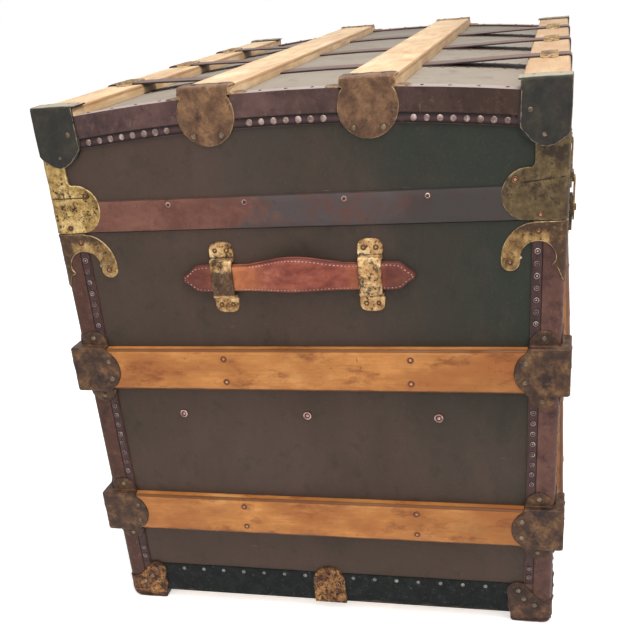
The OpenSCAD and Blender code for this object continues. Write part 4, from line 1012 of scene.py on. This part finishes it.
def hookWing():
    # a pointed foot, a round opening, the hook's tip and its outer bow up to the seam
    cx, cz = hook["centre"]
    r = hook["inner"]
    foot = ((0, 23.5), (1.5, 22), (6.5, 11.5), (7.5, 9.5), (11.5, 8.5), (12.5, 7.5), (11.8, 5.5), (9.4, 2.5))
    wing = [(p, cz - down) for p, down in foot]
    wing += arc(cx, cz, r, 180, 8) + [(cx + r - 2.2, cz + 0.6), (cx + r - 0.6, cz - 1.2)]
    wing += arc(*hook["tipAt"], hook["tip"], 165, 372) + arc(cx, cz, hook["outer"], 0, 90)
    return wing + [(0, hook["top"])]


def hookShape(p, z, d):
    ringed = math.hypot(abs(p) - 55, z - hook["centre"][1] + 1)
    up = dents(p, z, 13, 0.4, 8.2) + 0.4 * hump(d, 1.5, 0.8) + 0.6 * hump(ringed, 6, 1.2)
    return up * smooth(d, 0, 1.2)


def hookDip(p, z):
    return 2.4 * smooth(abs(p), 33, 38)


plate = cornerPlate(hookWing(), hookDip, hook["thick"], hookShape, cornerColumns(434, 501), step=2.0)
# tarnish stays dark under the seam and in the fold
plate[2]["old"] = [max(smooth(z, 484, 495), 1 - smooth(min(hx - x, hy - y) + max(hx - x, hy - y), 6, 14))
                   for x, y, z in plate[0]]
finishObject("hookCorners", onCorners(plate), "base", "hookBrass", "brass_plate", ["hook_corners"])

cap = {"reach": 54.0, "top": 59.0, "lobe": 13.5, "thick": 1.6, "foot": 49.0, "soleOff": 2.0,
       "soleRadius": 10.0}


def capWing():
    # from the floor's corner along the foot, up round the lobe and back down to the corner's edge
    lobe, top, reach, foot = (cap[k] for k in ("lobe", "top", "reach", "foot"))
    wing = [(0, 8.5), (2, 6.2), (6, 3.8), (12, 2.2), (20, 1.4), (foot - 3, 1.4), (foot, 4), (foot + 0.5, 13),
            (reach - 3, 18), (reach - 1, 24), (reach - 2, 31)]
    wing += arc(reach - lobe, top - lobe, lobe, -25, 128)
    return wing + [(27, 49), (21, 42), (15, 37.5), (9, 35), (3, 34.5), (0, 35)]


def capShape(p, z, d):
    up = dents(p, z, 12, 0.6, 5.5) + 0.4 * hump(d, 1.5, 0.8)
    return (up - 3.2 * (1 - smooth(z, 1, 12))) * smooth(d, 0, 1.2)


def capDip(p, z):
    return 0.9 * smooth(abs(p), 33, 37)


plate = cornerPlate(capWing(), capDip, cap["thick"], capShape, cornerColumns(2, 33))
finishObject("backCornerCaps", onCorners(plate, (1,)), "base", "shoeBrass", "dark_plate",
             ["bottom_corner_caps"])
finishObject("frontCornerCaps", onCorners(plate, (-1,)), "base", "capMetal", "dark_plate")
# the caps' soles, on which the trunk stands
outX, outY, r = hx + cap["soleOff"], hy + cap["soleOff"], cap["soleRadius"]
sole = cap["foot"] - cap["soleOff"]
outline = [(outX - sole, outY - sole), (outX, outY - sole)] + arc(outX - r, outY - r, r, 0, 90)
outline.append((outX - sole, outY))
plate = pressedSheet(outline, lambda x, y, lift: (x, y, -lift), trunk["bottom"] - 0.1, step=4.0, rim=1.2,
                     rings=(0.6, 1.4, 3.0))
finishObject("capSoles", onCorners(plate), "base", "capMetal", "dark_plate")
print("corner plates made")


# Slat clamps: a folded box over the meeting slats, a round nose and two ears

clamp = {"reach": 35.0, "nose": (21.5, 27.5), "cornerRadius": 3.0, "ear": (18.0, 16.0), "earTop": 18.0,
         "thick": 1.5}
# the box in section: half its width, the fold's radius, the heights of top and foot, and the radius and arc
# length of the turn at its foot
clampBox = {"half": 27.5, "fold": 2.0, "high": 13.5, "low": 4.0, "toe": 1.5, "toeTurn": 2.36}


def clampPlace(middle):
    def place(p, s, lift):
        z, off, nz, nOff = foldedSection(s, clampBox)
        off += lift * nOff
        z += lift * nz
        share = (clampBox["high"] - off) / (clampBox["high"] - clampBox["low"])
        out, across = bentCorner(off, max(1.5, clamp["cornerRadius"] + 4.5 * share), p, 0)
        return hx + out, hy - across, middle + z
    return place


def clampOutline():
    reach, (cx, r), (ex, er) = clamp["reach"], clamp["nose"], clamp["ear"]
    flat = clampBox["half"] - clampBox["fold"]
    end = foldEnd(clampBox)
    rise = math.degrees(math.asin(min(1, (flat - 2.5) / r)))
    quarter = arc(cx, 0, r, 0, rise) + [(reach, flat + 1.5), (reach, end - 0.5), (ex + er, end)]
    quarter += arc(ex, end + clamp["earTop"] - 1.5 - er, er, 0, 180) + [(ex - er, end), (0, end - 0.5)]
    upper = quarter + [(-p, s) for p, s in reversed(quarter[:-1])]
    return upper + [(p, -s) for p, s in reversed(upper[1:-1])]


def clampShape(p, s, d):
    a = abs(p)
    up = dents(p, s, 15, 0.5, 2.7) * (1 if abs(s) < 24 else 0.4) + 0.35 * hump(d, 1.6, 0.8)
    up += 0.6 * hump(math.hypot(a - clamp["ear"][0], abs(s) - 45), 6.2, 1.3)
    up -= 0.5 * hump(a - clamp["reach"], -1, 1.4) * smooth(22 - abs(s), 0, 6)
    return up * smooth(d, 0, 1.2)


folds = [(p, sign * s) for p in np.arange(-47, 48, 2.6)
         for s in (24.5, 26.0, 27.0, 28.0, 29.2, 34.2, 35.2, 36.2, 37.4) for sign in (-1, 1)]
parts = []
for z in trunk["slatHeights"]:
    parts += onCorners(pressedSheet(clampOutline(), clampPlace(z), clamp["thick"], shape=clampShape, step=2.4,
                                    extra=cornerColumns(-52, 52) + folds))
finishObject("slatClamps", parts, "base", "clampMetal", "dark_plate", ["slat_corner_clamps"])
print("slat clamps made")


# Clamps on the lid's slats

def foldedOver(s, lift, face, top, bend):
    # a plate that runs up the end face and, from its bend on, inward over a slat: s -> (x, z)
    turnAt = top - bend
    if s < turnAt:
        return face + lift, s
    if s < turnAt + bend * math.pi / 2:
        t = (s - turnAt) / bend
        return face - bend + (bend + lift) * math.cos(t), turnAt + (bend + lift) * math.sin(t)
    return face - bend - (s - turnAt - bend * math.pi / 2), top + lift


midClamp = {"lobeZ": 619.5, "radius": 31.0, "neck": 28.4, "flap": 28.0, "bend": 3.0, "thick": 1.6,
            "face": 4.0, "over": 1.5, "lobeDip": 2.3}


def midPlace(y, top):
    def place(u, s, lift):
        # beside the slat the lobe steps back against the canvas
        low = midClamp["lobeDip"] * smooth(crownZ(y) - 31.5 - s, 0, 5) if s < top - midClamp["bend"] else 0
        x, z = foldedOver(s, lift, hx + midClamp["face"], top, midClamp["bend"])
        return x - low, y + u, z
    return place


def midOutline(top):
    r, neck, bend = midClamp["radius"], midClamp["neck"], midClamp["bend"]
    end = top - bend + bend * math.pi / 2 + midClamp["flap"] - 5
    right = arc(0, midClamp["lobeZ"], r, -90, 36)
    z = right[-1][1]
    right += [(neck + 0.6, z + 2.0), (neck - 0.6, z + 5), (neck - 0.4, top - 2), (neck, top + 4),
              (neck, end - 3), (neck - 3, end)]
    return right + [(-u, s) for u, s in reversed(right[1:])]


def midShape(u, s, d):
    cz = midClamp["lobeZ"]
    up = dents(u, s, 16, 0.5, 6.4) + 0.5 * hump(d, 1.6, 0.8)
    up += 0.9 * smooth(d, 2, 12) * smooth(cz + 14 - s, 0, 10) - 0.5 * hump(s - cz, 19, 1.6)
    return up * smooth(d, 0, 1.2)


# thin ears that lie flat on top of the lid's edge beside the slat
ear = {"out": 35.5, "seat": 1.3, "thick": 1.3,
       "outline": [(-6.5, -16), (5, -17), (7.5, -12), (7.5, -2), (5, 1.5), (-6.5, 2.0)]}
parts = []
top = trunk["lidSlatTop"] + midClamp["over"]
bends = [(u, s) for u in np.arange(-24, 25, 2.6) for s in np.arange(top - 3.5, top + 2.4, 0.9)]
for sy in (-1, 1):
    slatY = sy * trunk["lidSlatY"]
    parts += onBothEnds(pressedSheet(midOutline(top), midPlace(slatY, top), midClamp["thick"], shape=midShape,
                                     extra=bends))
    for side in (-1, 1):
        def earPlace(u, s, lift, y=slatY + side * ear["out"]):
            return hx + s, y + u, crownZ(y + u) + thick + ear["seat"] + lift
        parts += onBothEnds(pressedSheet([(u * side, s) for u, s in ear["outline"]], earPlace, ear["thick"],
                                         step=2.0, rings=(0.3, 0.8),
                                         shape=lambda u, s, d: dents(u, s, 6, 0.5, 1.5)))
finishObject("middleSlatClamps", parts, "lid", "lobeMetal", "dark_plate", ["middle_slat_clamps"])

# plates laid over the CAD's corner clamps, which give them their dents; u runs across the end
cornerClamp = {"inner": 233.0, "outer": 281.0, "thick": 0.9, "bend": 3.2, "face": 4.9, "over": 1.5,
               "step": 0.8, "end": 662.0}


def clampFacePlace(u, s, lift):
    top, bend = trunk["outerSlatTop"] + cornerClamp["over"], cornerClamp["bend"]
    x, z = foldedOver(s, lift, hx + cornerClamp["face"], top, bend)
    return x, u, z + (cornerClamp["step"] if s >= top - bend else 0)


def clampFaceShape(u, s, d):
    crease = abs((u - 262) * 0.62 - (s - 592) * 0.5)
    up = dents(u, s, 20, 0.7, 3.9) + 0.45 * hump(d, 1.4, 0.7)
    up += 0.6 * hump(crease, 0, 1.5) * smooth(s, 580, 586) * (1 - smooth(s, 604, 612))
    return up * smooth(d, 0, 1.0)


a, b, end = (cornerClamp[k] for k in ("inner", "outer", "end"))
outline = [(a, 592), (a + 3, 589), (a + 12, 579), (a + 20, 574.5), (a + 26, 573.5), (a + 33, 575),
           (a + 42, 580.5), (b - 2, 584), (b, 587), (b + 0.5, 610), (b, end), (a + 1, end), (a + 0.5, 632)]
plate = pressedSheet(outline, clampFacePlace, cornerClamp["thick"], shape=clampFaceShape, step=2.4,
                     extra=[(u, s) for u in np.arange(a + 2, b, 2.6) for s in np.arange(632, 640, 0.9)])
finishObject("cornerClampFaces", onCorners(plate), "lid", "darkMetal", "dark_plate")
print("lid clamps made")


# Cross bands and their saddles

cross = {"width": 38.0, "thick": 2.0, "faceEnd": 548.0, "overOuter": 47.0, "underFrom": 112.0,
         "underTo": 233.5, "underThick": 1.2}


def bandPath():
    # over the crown, up onto the outer slat, and down its face
    low, top = trunk["lidSlatY"] + 29, trunk["outerSlatTop"]
    inner, face = hy + thick - cross["overOuter"], hy + thick
    path = [(low * k / 9, crownZ(low * k / 9)) for k in range(9)]
    for k in range(20):
        t = k / 19
        ease = (1 - math.cos(math.pi * t)) / 2
        path.append((low + (inner - low) * t, crownZ(low) + (top - crownZ(low)) * ease))
    path += [(inner + 12, top), (inner + 24, top), (face - 4, top)]
    path += [(face - 1.2, top - 0.3), (face - 0.3, top - 1.2), (face, top - 4)]
    path += [(face, top - 4 - (top - 4 - cross["faceEnd"]) * k / 7) for k in range(1, 8)]
    return [(-y, z) for y, z in reversed(path[1:])] + path


def ribbon(x, path, width, thickness, seed):
    half = width / 2
    # the section as (place across, share of the thickness, how dark it is painted: the sides, as cut edge and
    # shade)
    section = [(-half, 0.0, 1), (-half, 0.5, 1), (-half + 0.15, 0.85, 1), (-half + 0.7, 1.0, 0.9)]
    section += [(half * k / 4, 1.0, 0) for k in (-3, -2, -1, 0, 1, 2, 3)]
    section += [(-a, b, c) for a, b, c in reversed(section[:4])]
    points, dark = [], []
    for i, (y, z) in enumerate(path):
        before, after = path[max(0, i - 1)], path[min(len(path) - 1, i + 1)]
        ty, tz = after[0] - before[0], after[1] - before[1]
        size = math.hypot(ty, tz)
        ny, nz = -tz / size, ty / size
        sway = noise.noise(Vector((y / 40, seed, z / 40))) * 0.8
        for a, b, c in section:
            cup = -0.35 * (a / half) ** 2 + 0.25 * noise.noise(Vector((a / 9, y / 14, seed)))
            lift = b * (thickness + cup * (b > 0.6))
            points.append((x + a + sway, y + ny * lift, z + nz * lift))
            dark.append(c)
    return points, tubeFaces(len(path), len(section)), {"dark": dark}


path = bandPath()
parts = [ribbon(x, path, cross["width"], cross["thick"], k) for k, x in enumerate(trunk["bandXs"])]
finishObject("crossBands", parts, "lid", "cross", "fibre", ["lid_cross_bands"], 50)
parts = []
for k, x in enumerate(trunk["bandXs"]):
    for sy in (-1, 1):
        strip = [(sy * y, crownZ(y) + 0.02) for y in np.linspace(cross["underFrom"], cross["underTo"], 16)]
        parts.append(ribbon(x, strip[::sy], cross["width"] + 3, cross["underThick"], 30 + k))
finishObject("underStrips", parts, "lid", "crossEdge", "fibre", (), 50)

saddle = {"long": 64.0, "wide": 20.0, "rise": 3.6, "foot": 1.6}


def saddleShape(u, v, d):
    up = (saddle["rise"] - saddle["foot"]) * smooth(23.0 - abs(u), 0, 2.4)
    up += 1.3 * max(0, 1 - (u / 17) ** 2) * max(0, 1 - (v / 9.5) ** 2)
    return up + dents(u, v, 6, 0.3, 4.4) * smooth(d, 0, 1.2)


half = saddle["wide"] / 2
arm = saddle["long"] / 2 - half
outline = arc(arm, 0, half, -90, 90) + arc(-arm, 0, half, 90, 270)
steps = [(s * u, v) for u in (20.4, 21.2, 22.0, 22.8) for v in np.arange(-8, 9, 1.6) for s in (-1, 1)]
parts = []
for x in trunk["bandXs"]:
    for sy in (-1, 1):
        def saddlePlace(u, v, lift, x=x, y=sy * trunk["outerSlatY"]):
            return x + u, y + v, trunk["outerSlatTop"] + saddle["foot"] + lift
        parts.append(pressedSheet(outline, saddlePlace, saddle["foot"], step=1.9, rings=(0.3, 0.7, 1.6),
                                  shape=saddleShape, extra=steps))
finishObject("bandSaddles", parts, "lid", "hookBrass", "brass_plate", ["cross_band_clamps"])
print("cross bands made")


# Leather handles

handle = {"z": 448.0, "back": 5.0, "tip": 132.0, "width": 29.0, "rise": 10.0, "thick": 6.5, "seat": 1.0,
          "bow": 12.0, "bowEnd": 63.0, "straightEnd": 88.0, "stitch": 3.6, "stitchIn": 2.6, "thread": 0.62}


def swell(y, amount):
    return amount * math.cos(math.pi / 2 * y / handle["bowEnd"]) ** 2 if abs(y) < handle["bowEnd"] else 0


def strapOutline():
    tip, half, straight = handle["tip"], handle["width"] / 2, handle["straightEnd"]
    top = [(y, half + swell(y, handle["rise"])) for y in np.linspace(straight, -straight, 45)]
    bottom = [(y, -half + swell(y, 1.5)) for y in np.linspace(-straight, straight, 45)]
    # the pointed end, above the strap's middle line; the rest is its mirror image
    upper = [(-100, half + 0.6), (-109, half + 0.3), (-115.5, half - 0.6), (-119, half - 3),
             (-124, half - 7.5), (2.5 - tip, 3.6), (-tip, 1.4)]
    leftEnd = upper + [(y, -z) for y, z in reversed(upper)]
    return top + leftEnd + bottom + [(-y, z) for y, z in reversed(leftEnd)]


def strapShape(y, z, d):
    up = -1.0 * (1 - smooth(d, 0.6, 5.5)) + 0.35 * hump(d, 6, 1.6) - 0.35 * hump(d, handle["stitchIn"], 0.7)
    return up + dents(y, z, 22, 0.5, 9.1) * smooth(d, 0, 3)


def strapPlace(sx):
    def place(y, z, lift):
        out = handle["seat"] + handle["thick"] + swell(y, handle["bow"]) + lift
        return sx * (hx + out), y + handle["back"], handle["z"] + z
    return place


def stitches(outline, place):
    row = inset(densify(outline, 1.0), handle["stitchIn"], 3)
    parts, walked, start = [], 0.0, None
    for a, b in zip(row, row[1:] + row[:1]):
        if walked == 0.0:
            start = a
        walked += math.dist(a, b)
        if walked >= handle["stitch"]:
            parts.append(thread(start, (b[0] - start[0]) * 0.55, (b[1] - start[1]) * 0.55, place))
            walked = 0.0
    return parts


def thread(start, dy, dz, place):
    # one stitch: a short rounded thread that dives in at both ends
    size = math.hypot(dy, dz)
    points = []
    rows = [(0.0, 0.25, -0.5), (0.12, 0.8, -0.1), (0.5, 1.0, 0.15), (0.88, 0.8, -0.1), (1.0, 0.25, -0.5)]
    for t, fat, up in rows:
        for k in range(6):
            a = math.pi / 3 * k
            r = handle["thread"] * fat
            off = r * math.cos(a)
            y, z = start[0] + dy * t - dz / size * off, start[1] + dz * t + dy / size * off
            points.append(place(y, z, strapShape(y, z, handle["stitchIn"]) + up + r * math.sin(a)))
    return points, tubeFaces(len(rows), 6), {}


sewn = densify(strapOutline(), 4.0)
for sx, label in ((-1, "left"), (1, "right")):
    place = strapPlace(sx)
    strap = pressedSheet(sewn, place, handle["thick"], step=3.0, rim=1.6, shape=strapShape,
                         rings=(0.5, 1.2, 2.4, 3.4, 4.4, 6.0),
                         sides=((-0.2, 1.0), (-0.2, 2.4), (0.45, 2.9), (-0.1, 3.4), (-0.1, 4.8), (0.8, 6.0)))
    ys = [y - handle["back"] for _, y, _ in strap[0]]
    marks = strap[2]
    # pale where the bow bends, dark at the ends and along the cut edge
    marks["bright"] = [(smooth(y, 8, 66) + 0.6 * smooth(-y, 44, 66)) * (1 - smooth(abs(y), 72, 80))
                       for y in ys]
    marks["dark"] = [max(smooth(abs(y), 92, 104) * 0.6, worn * 0.8) for y, worn in zip(ys, marks["edgeWearAndShading"])]
    body = label + "_handle"
    finishObject(label + "Strap", [strap], body, "leather", "handle_leather", [body], 60)
    finishObject(label + "Stitches", stitches(sewn, place), body, "thread", "handle_leather")

loop = {"at": 83.5, "width": 27.0, "half": 40.0, "bridge": 19.5, "crown": 0.8, "thick": 1.9}
loopBox = {"half": 21.5, "fold": 3.2, "high": 9.9, "low": 2.0, "toe": 1.2, "toeTurn": 1.88}


def loopPlace(sx, sy):
    flat = loopBox["half"] - loopBox["fold"]

    def place(u, s, lift):
        z, off, nz, nOff = foldedSection(s, loopBox)
        off += loop["crown"] * (1 - min(1, abs(s) / flat) ** 2)
        y = handle["back"] + sy * loop["at"] + u
        return sx * (hx + off + lift * nOff), y, handle["z"] + z + lift * nz
    return place


def loopOutline():
    half, flat, footAt = loop["width"] / 2, loopBox["half"] - loopBox["fold"], foldEnd(loopBox)
    end = footAt + loop["half"] - loop["bridge"] - loopBox["low"] - loopBox["toe"]
    quarter = [(half - 0.9, 0), (half - 0.9, flat - 4), (half - 0.5, flat + 3), (half, footAt),
               (half + 0.6, footAt + 2), (half + 0.6, end - 9)]
    quarter += arc(half - 8.4, end - 9, 9, 0, 62) + [(half - 9, end)]
    right = [(u, -s) for u, s in reversed(quarter[1:])] + quarter
    return right + [(-u, s) for u, s in reversed(right)]


def loopShape(u, s, d):
    up = dents(u, s, 8, 0.4, 7.7) + 0.3 * hump(d, 1.4, 0.8) - 0.5 * hump(math.hypot(u, abs(s) - 36.5), 0, 2.0)
    return up * smooth(d, 0, 1.2)


folds = [(u, sign * s) for u in np.arange(-9, 10, 2.2)
         for s in (17.5, 19, 20.5, 22, 23.2, 26.4, 27.2, 28, 28.8) for sign in (-1, 1)]
for sx, label in ((-1, "left"), (1, "right")):
    parts = []
    for sy in (-1, 1):
        part = pressedSheet(loopOutline(), loopPlace(sx, sy), loop["thick"], step=2.0, shape=loopShape,
                            extra=folds, rings=(0.3, 0.7, 1.4, 2.4))
        # the folds are painted dark, as flaked plate and as shade in their grooves, and the plate has flaked
        # low on one loop of each end
        part[2]["old"] = []
        for x, y, z in part[0]:
            up = z - handle["z"]
            flaked = smooth(-up, -14, -6) * (1 - smooth(-up, 18, 20)) if (y > 0) == (sx < 0) else 0
            part[2]["old"].append(max(hump(abs(up) - loop["bridge"], 3.2, 1.6), flaked))
        parts.append(part)
    finishObject(label + "HandleLoops", parts, "base", "loopBrass", "brass_plate", [label + "_handle_loops"])
print("handles made")


# Bottom binding and the shoes on the runner

bottom = {"low": 13.5, "high": 56.0, "thick": 1.5, "inset": 30.5, "torn": 6.5}


def raggedEdge(half, seed):
    rng = random.Random(seed)
    edge = []
    x = -half
    while x < half:
        torn = max(0.0, noise.fractal(Vector((x / 38, seed, 0.3)), 0.9, 2.0, 4) * bottom["torn"])
        edge.append((x, bottom["low"] + torn))
        x += rng.uniform(3, 6)
    edge += [(half, bottom["low"]), (half, bottom["high"])]
    edge += [(x, bottom["high"] + noise.noise(Vector((x / 55, seed, 7))) * 0.7)
             for x in np.arange(half, -half, -12)[1:]]
    return edge + [(-half, bottom["high"])]


parts = []
for side in range(4):
    sign = -1 if side % 2 == 0 else 1
    onEnd = side < 2

    def place(u, z, lift, onEnd=onEnd, sign=sign):
        out = bottom["thick"] + lift
        return (sign * (hx + out), u, z) if onEnd else (u, sign * (hy + out), z)

    def crumpled(u, z, d, side=side):
        return max(-0.9, min(1.0, dents(u, z, 14, 0.9, side + 0.5))) * smooth(d, 0, 4)

    edge = raggedEdge((hy if onEnd else hx) - bottom["inset"], side)
    parts.append(pressedSheet(edge, place, bottom["thick"] - 0.1, step=4.2, rim=0.4, rings=(0.4, 1.6, 3.5),
                              shape=crumpled))
finishObject("bottomBinding", parts, "base", "blackSheet", "black_sheet", ["bottom_bindings"], 60)

shoe = {"radius": 21.0, "centre": 44.0, "low": 13.0, "seat": 3.5, "thick": 1.5, "rivets": (11.0, 40.0),
        "rivet": (4.2, 1.8)}


def shoeShape(u, z, d):
    up = dents(u, z, 9, 0.6, 1.1) + 0.5 * hump(d, 1.8, 1.0)
    return (up - 0.6 * hump(math.hypot(u, z - shoe["centre"]), 13, 2.4)) * smooth(d, 0, 1.4)


low, r = shoe["low"], shoe["radius"]
outline = [(-r, low + 7), (1.5 - r, low), (r - 1.5, low), (r, low + 7)] + arc(0, shoe["centre"], r, 0, 180)
plate = pressedSheet(outline, lambda u, z, lift: (hx + shoe["seat"] + lift, u, z), shoe["thick"],
                     shape=shoeShape, step=2.0)
finishObject("runnerShoes", onBothEnds(plate), "base", "shoeBrass", "brass_plate")
print("bottom dressed")


# Fasteners: heads at the CAD's own places, then the rows that only this script has

cadHeads = (
    # piece, CAD node, head, finish, body, slot
    ("slatScrews", "slat_screws", "screw", "slatScrew", "base", "rivet"),
    ("hookRivets", "hook_rivets", "screw", "copperWash", "base", "rivet"),
    ("cornerRivets", "brass_corner_rivets", "screw", "copperWash", "lid", "rivet"),
    ("loopRivets", "handle_loop_rivets", "screw", "loopRivet", "base", "rivet"),
    ("panelRivets", "panel_rivets", "boss", "copper", "base", "rivet"),
    ("bandScrews", "lid_band_screws", "ring", "copper", "lid", "nail"),
    ("clampNails", "slat_clamp_nails", "dome", "nail", "base", "nail"),
    ("capNails", "bottom_cap_nails", "dome", "nail", "base", "nail"),
    ("lidClampNails", "lid_clamp_nails", "dome", "nail", "lid", "nail"),
    ("bandNails", "cross_band_nails", "dome", "copper", "lid", "nail"),
)
for seed, (name, node, kind, look, body, slot) in enumerate(cadHeads, 1):
    finishObject(name, heads(headPlaces(node), kind, seed), body, look, slot, [node], 60)

# rivet, nail and tack are (radius, height) of a head, seats are distances off the board, and gaps keep heads
# clear of the slats and bands
headRows = {"rivet": (3.4, 1.6), "pitch": 13.0, "seat": 2.15, "slatGap": 50.2, "lidSlatGap": 34.7,
            "bandGap": 22.7, "sideEnd": 398.0, "nail": (2.6, 1.1), "nailPitch": 28.0, "nailSeat": 1.5,
            "nailZ": 50.0, "tack": (1.9, 0.9), "tackPitch": 27.5, "tackIn": 9.0, "tackGap": 31.0}


def onEndFaces(y, z, seat, size):
    return [((sx * (hx + seat), y, z), (sx, 0, 0), *size) for sx in (-1, 1)]


def onSideFaces(x, z, seat, size):
    return [((x, sy * (hy + seat), z), (0, sy, 0), *size) for sy in (-1, 1)]


def clearOf(v, others, gap):
    return min(abs(v - other) for other in others) > gap


places = []
pitch, seat = headRows["pitch"], headRows["seat"]
for z in np.arange(68, 479, pitch):
    if clearOf(z, trunk["slatHeights"], headRows["slatGap"]):
        for sx in (-1, 1):
            for sy in (-1, 1):
                places.append(((sx * (hx + seat), sy * (hy + inward), z), (sx, 0, 0), *headRows["rivet"]))
                places.append(((sx * (hx + inward), sy * (hy + seat), z), (0, sy, 0), *headRows["rivet"]))
finishObject("bindingRivets", heads(places, "boss", 11, 12), "base", "domeNail", "rivet", (), 60)

slatYs = (-trunk["lidSlatY"], trunk["lidSlatY"])
places = []
for k in range(-17, 18):
    y = pitch * k
    if clearOf(y, slatYs, headRows["lidSlatGap"]):
        places += onEndFaces(y, lidStripZ(y), seat, headRows["rivet"])
for k in range(-31, 31):
    x = pitch * (k + 0.5)
    if abs(x) <= headRows["sideEnd"] and clearOf(x, trunk["bandXs"], headRows["bandGap"]):
        places += onSideFaces(x, lidStripZ(hy), seat, headRows["rivet"])
finishObject("lidEdgeRivets", heads(places, "dome", 12, 12), "lid", "domeNail", "rivet", (), 60)

places = []
z, pitch, seat = headRows["nailZ"], headRows["nailPitch"], headRows["nailSeat"]
for s in (-1, 1):
    for k in range(8):
        places += onEndFaces(s * (pitch * k + 4), z, seat, headRows["nail"])
    for k in range(1, 14):
        places += onSideFaces(s * (pitch * k - 14), z, seat, headRows["nail"])
finishObject("bindingNails", heads(places, "dome", 13, 10), "base", "paleNail", "nail", (), 60)

u, z = shoe["rivets"]
places = [((sx * (hx + shoe["seat"] + 0.2), side * u, z), (sx, 0, 0), *shoe["rivet"])
          for sx in (-1, 1) for side in (-1, 1)]
finishObject("shoeRivets", heads(places, "boss", 15), "base", "copperWash", "rivet", (), 60)

places = []
for sx in (-1, 1):
    for k in range(-8, 9):
        y = headRows["tackPitch"] * k
        if clearOf(y, slatYs, headRows["tackGap"]):
            places.append(((sx * (hx - headRows["tackIn"]), y, crownZ(y) + thick), (0, 0, 1),
                           *headRows["tack"]))
for bx in trunk["bandXs"]:
    for side in (-1, 1):
        for sy in (-1, 1):
            for y in np.arange(124, 232, 14):
                places.append(((bx + side * 25, sy * y, crownZ(y)), (0, 0, 1), *headRows["tack"]))
finishObject("lidTacks", heads(places, "dome", 14, 10), "lid", "nail", "nail", (), 60)
print("fasteners made")


# Camera, light and floor, in metres and degrees

view = {"at": (-1.406545, -0.267546, 0.741814), "turn": (61.7763, 4.7441, -77.2347), "lens": 52.866,
        "sensor": 36, "shift": 0.24052, "near": 0.01, "far": 100}
room = {"floorHalf": 30, "floorZ": -0.0005, "floor": "#f4f3f1", "glow": 0.6, "light": 0.42}
lights = {
    "above": {"at": (-0.75, -0.35, 2.4), "aim": (-0.15, 0, 0.4), "size": 1.3, "watts": 50},
    "window": {"at": (-1.9, -1.9, 1.7), "aim": (-0.2, 0, 0.35), "size": 1.4, "watts": 20},
    "fill": {"at": (-2.6, 1.4, 1.2), "aim": (0, 0, 0.3), "size": 1.8, "watts": 9},
}

scene = bpy.context.scene
camera = bpy.data.objects.new("camera", bpy.data.cameras.new("camera"))
scene.collection.objects.link(camera)
scene.camera = camera
camera.location = view["at"]
camera.rotation_euler = [math.radians(a) for a in view["turn"]]
camera.data.lens = view["lens"]
camera.data.sensor_width = view["sensor"]
camera.data.shift_y = view["shift"]
camera.data.clip_start = view["near"]
camera.data.clip_end = view["far"]
scene.view_settings.view_transform = "Standard"


def plainRoom(tree):
    # 1 for what the camera, reflections and clear pieces see of the room, 0 for its light on the trunk
    rays = addNode(tree, "LightPath")
    seen = addNode(tree, "Math", {0: rays.outputs["Is Camera Ray"], 1: rays.outputs["Is Glossy Ray"]},
                   operation="MAXIMUM")
    return addNode(tree, "Math", {0: seen.outputs[0], 1: rays.outputs["Is Transmission Ray"]},
                   operation="MAXIMUM").outputs[0]


half, z = room["floorHalf"], room["floorZ"]
floorMesh = bpy.data.meshes.new("floor")
corners = [(-half, -half, z), (half, -half, z), (half, half, z), (-half, half, z)]
floorMesh.from_pydata(corners, [], [(0, 1, 2, 3)])
floor = bpy.data.objects.new("floor", floorMesh)
scene.collection.objects.link(floor)
# Matt studio paper: off-white, so the trunk's shadow shows on it
paper = bpy.data.materials.new("paleStudioPaper")
paper.use_nodes = True
tree = paper.node_tree
shader = tree.nodes["Principled BSDF"]
shader.inputs["Base Color"].default_value = colour(room["floor"])
shader.inputs["Roughness"].default_value = 0.9
shader.inputs["Emission Color"].default_value = (1, 1, 1, 1)
glow = addNode(tree, "Math", {0: plainRoom(tree)}, {1: room["glow"]}, operation="MULTIPLY")
tree.links.new(glow.outputs[0], shader.inputs["Emission Strength"])
floorMesh.materials.append(paper)

world = bpy.data.worlds.new("studio")
scene.world = world
world.use_nodes = True
tree = world.node_tree
back = tree.nodes["Background"]
back.inputs["Color"].default_value = (1, 1, 1, 1)
power = addNode(tree, "MapRange", {"Value": plainRoom(tree)}, {"To Min": room["light"], "To Max": 1.0})
tree.links.new(power.outputs[0], back.inputs["Strength"])

for name, lamp in lights.items():
    data = bpy.data.lights.new(name, "AREA")
    data.shape = "SQUARE"
    data.size = lamp["size"]
    data.energy = lamp["watts"]
    made = bpy.data.objects.new(name, data)
    scene.collection.objects.link(made)
    made.location = lamp["at"]
    made.rotation_euler = (Vector(lamp["aim"]) - Vector(lamp["at"])).to_track_quat("-Z", "Y").to_euler()
print("camera and lights set")
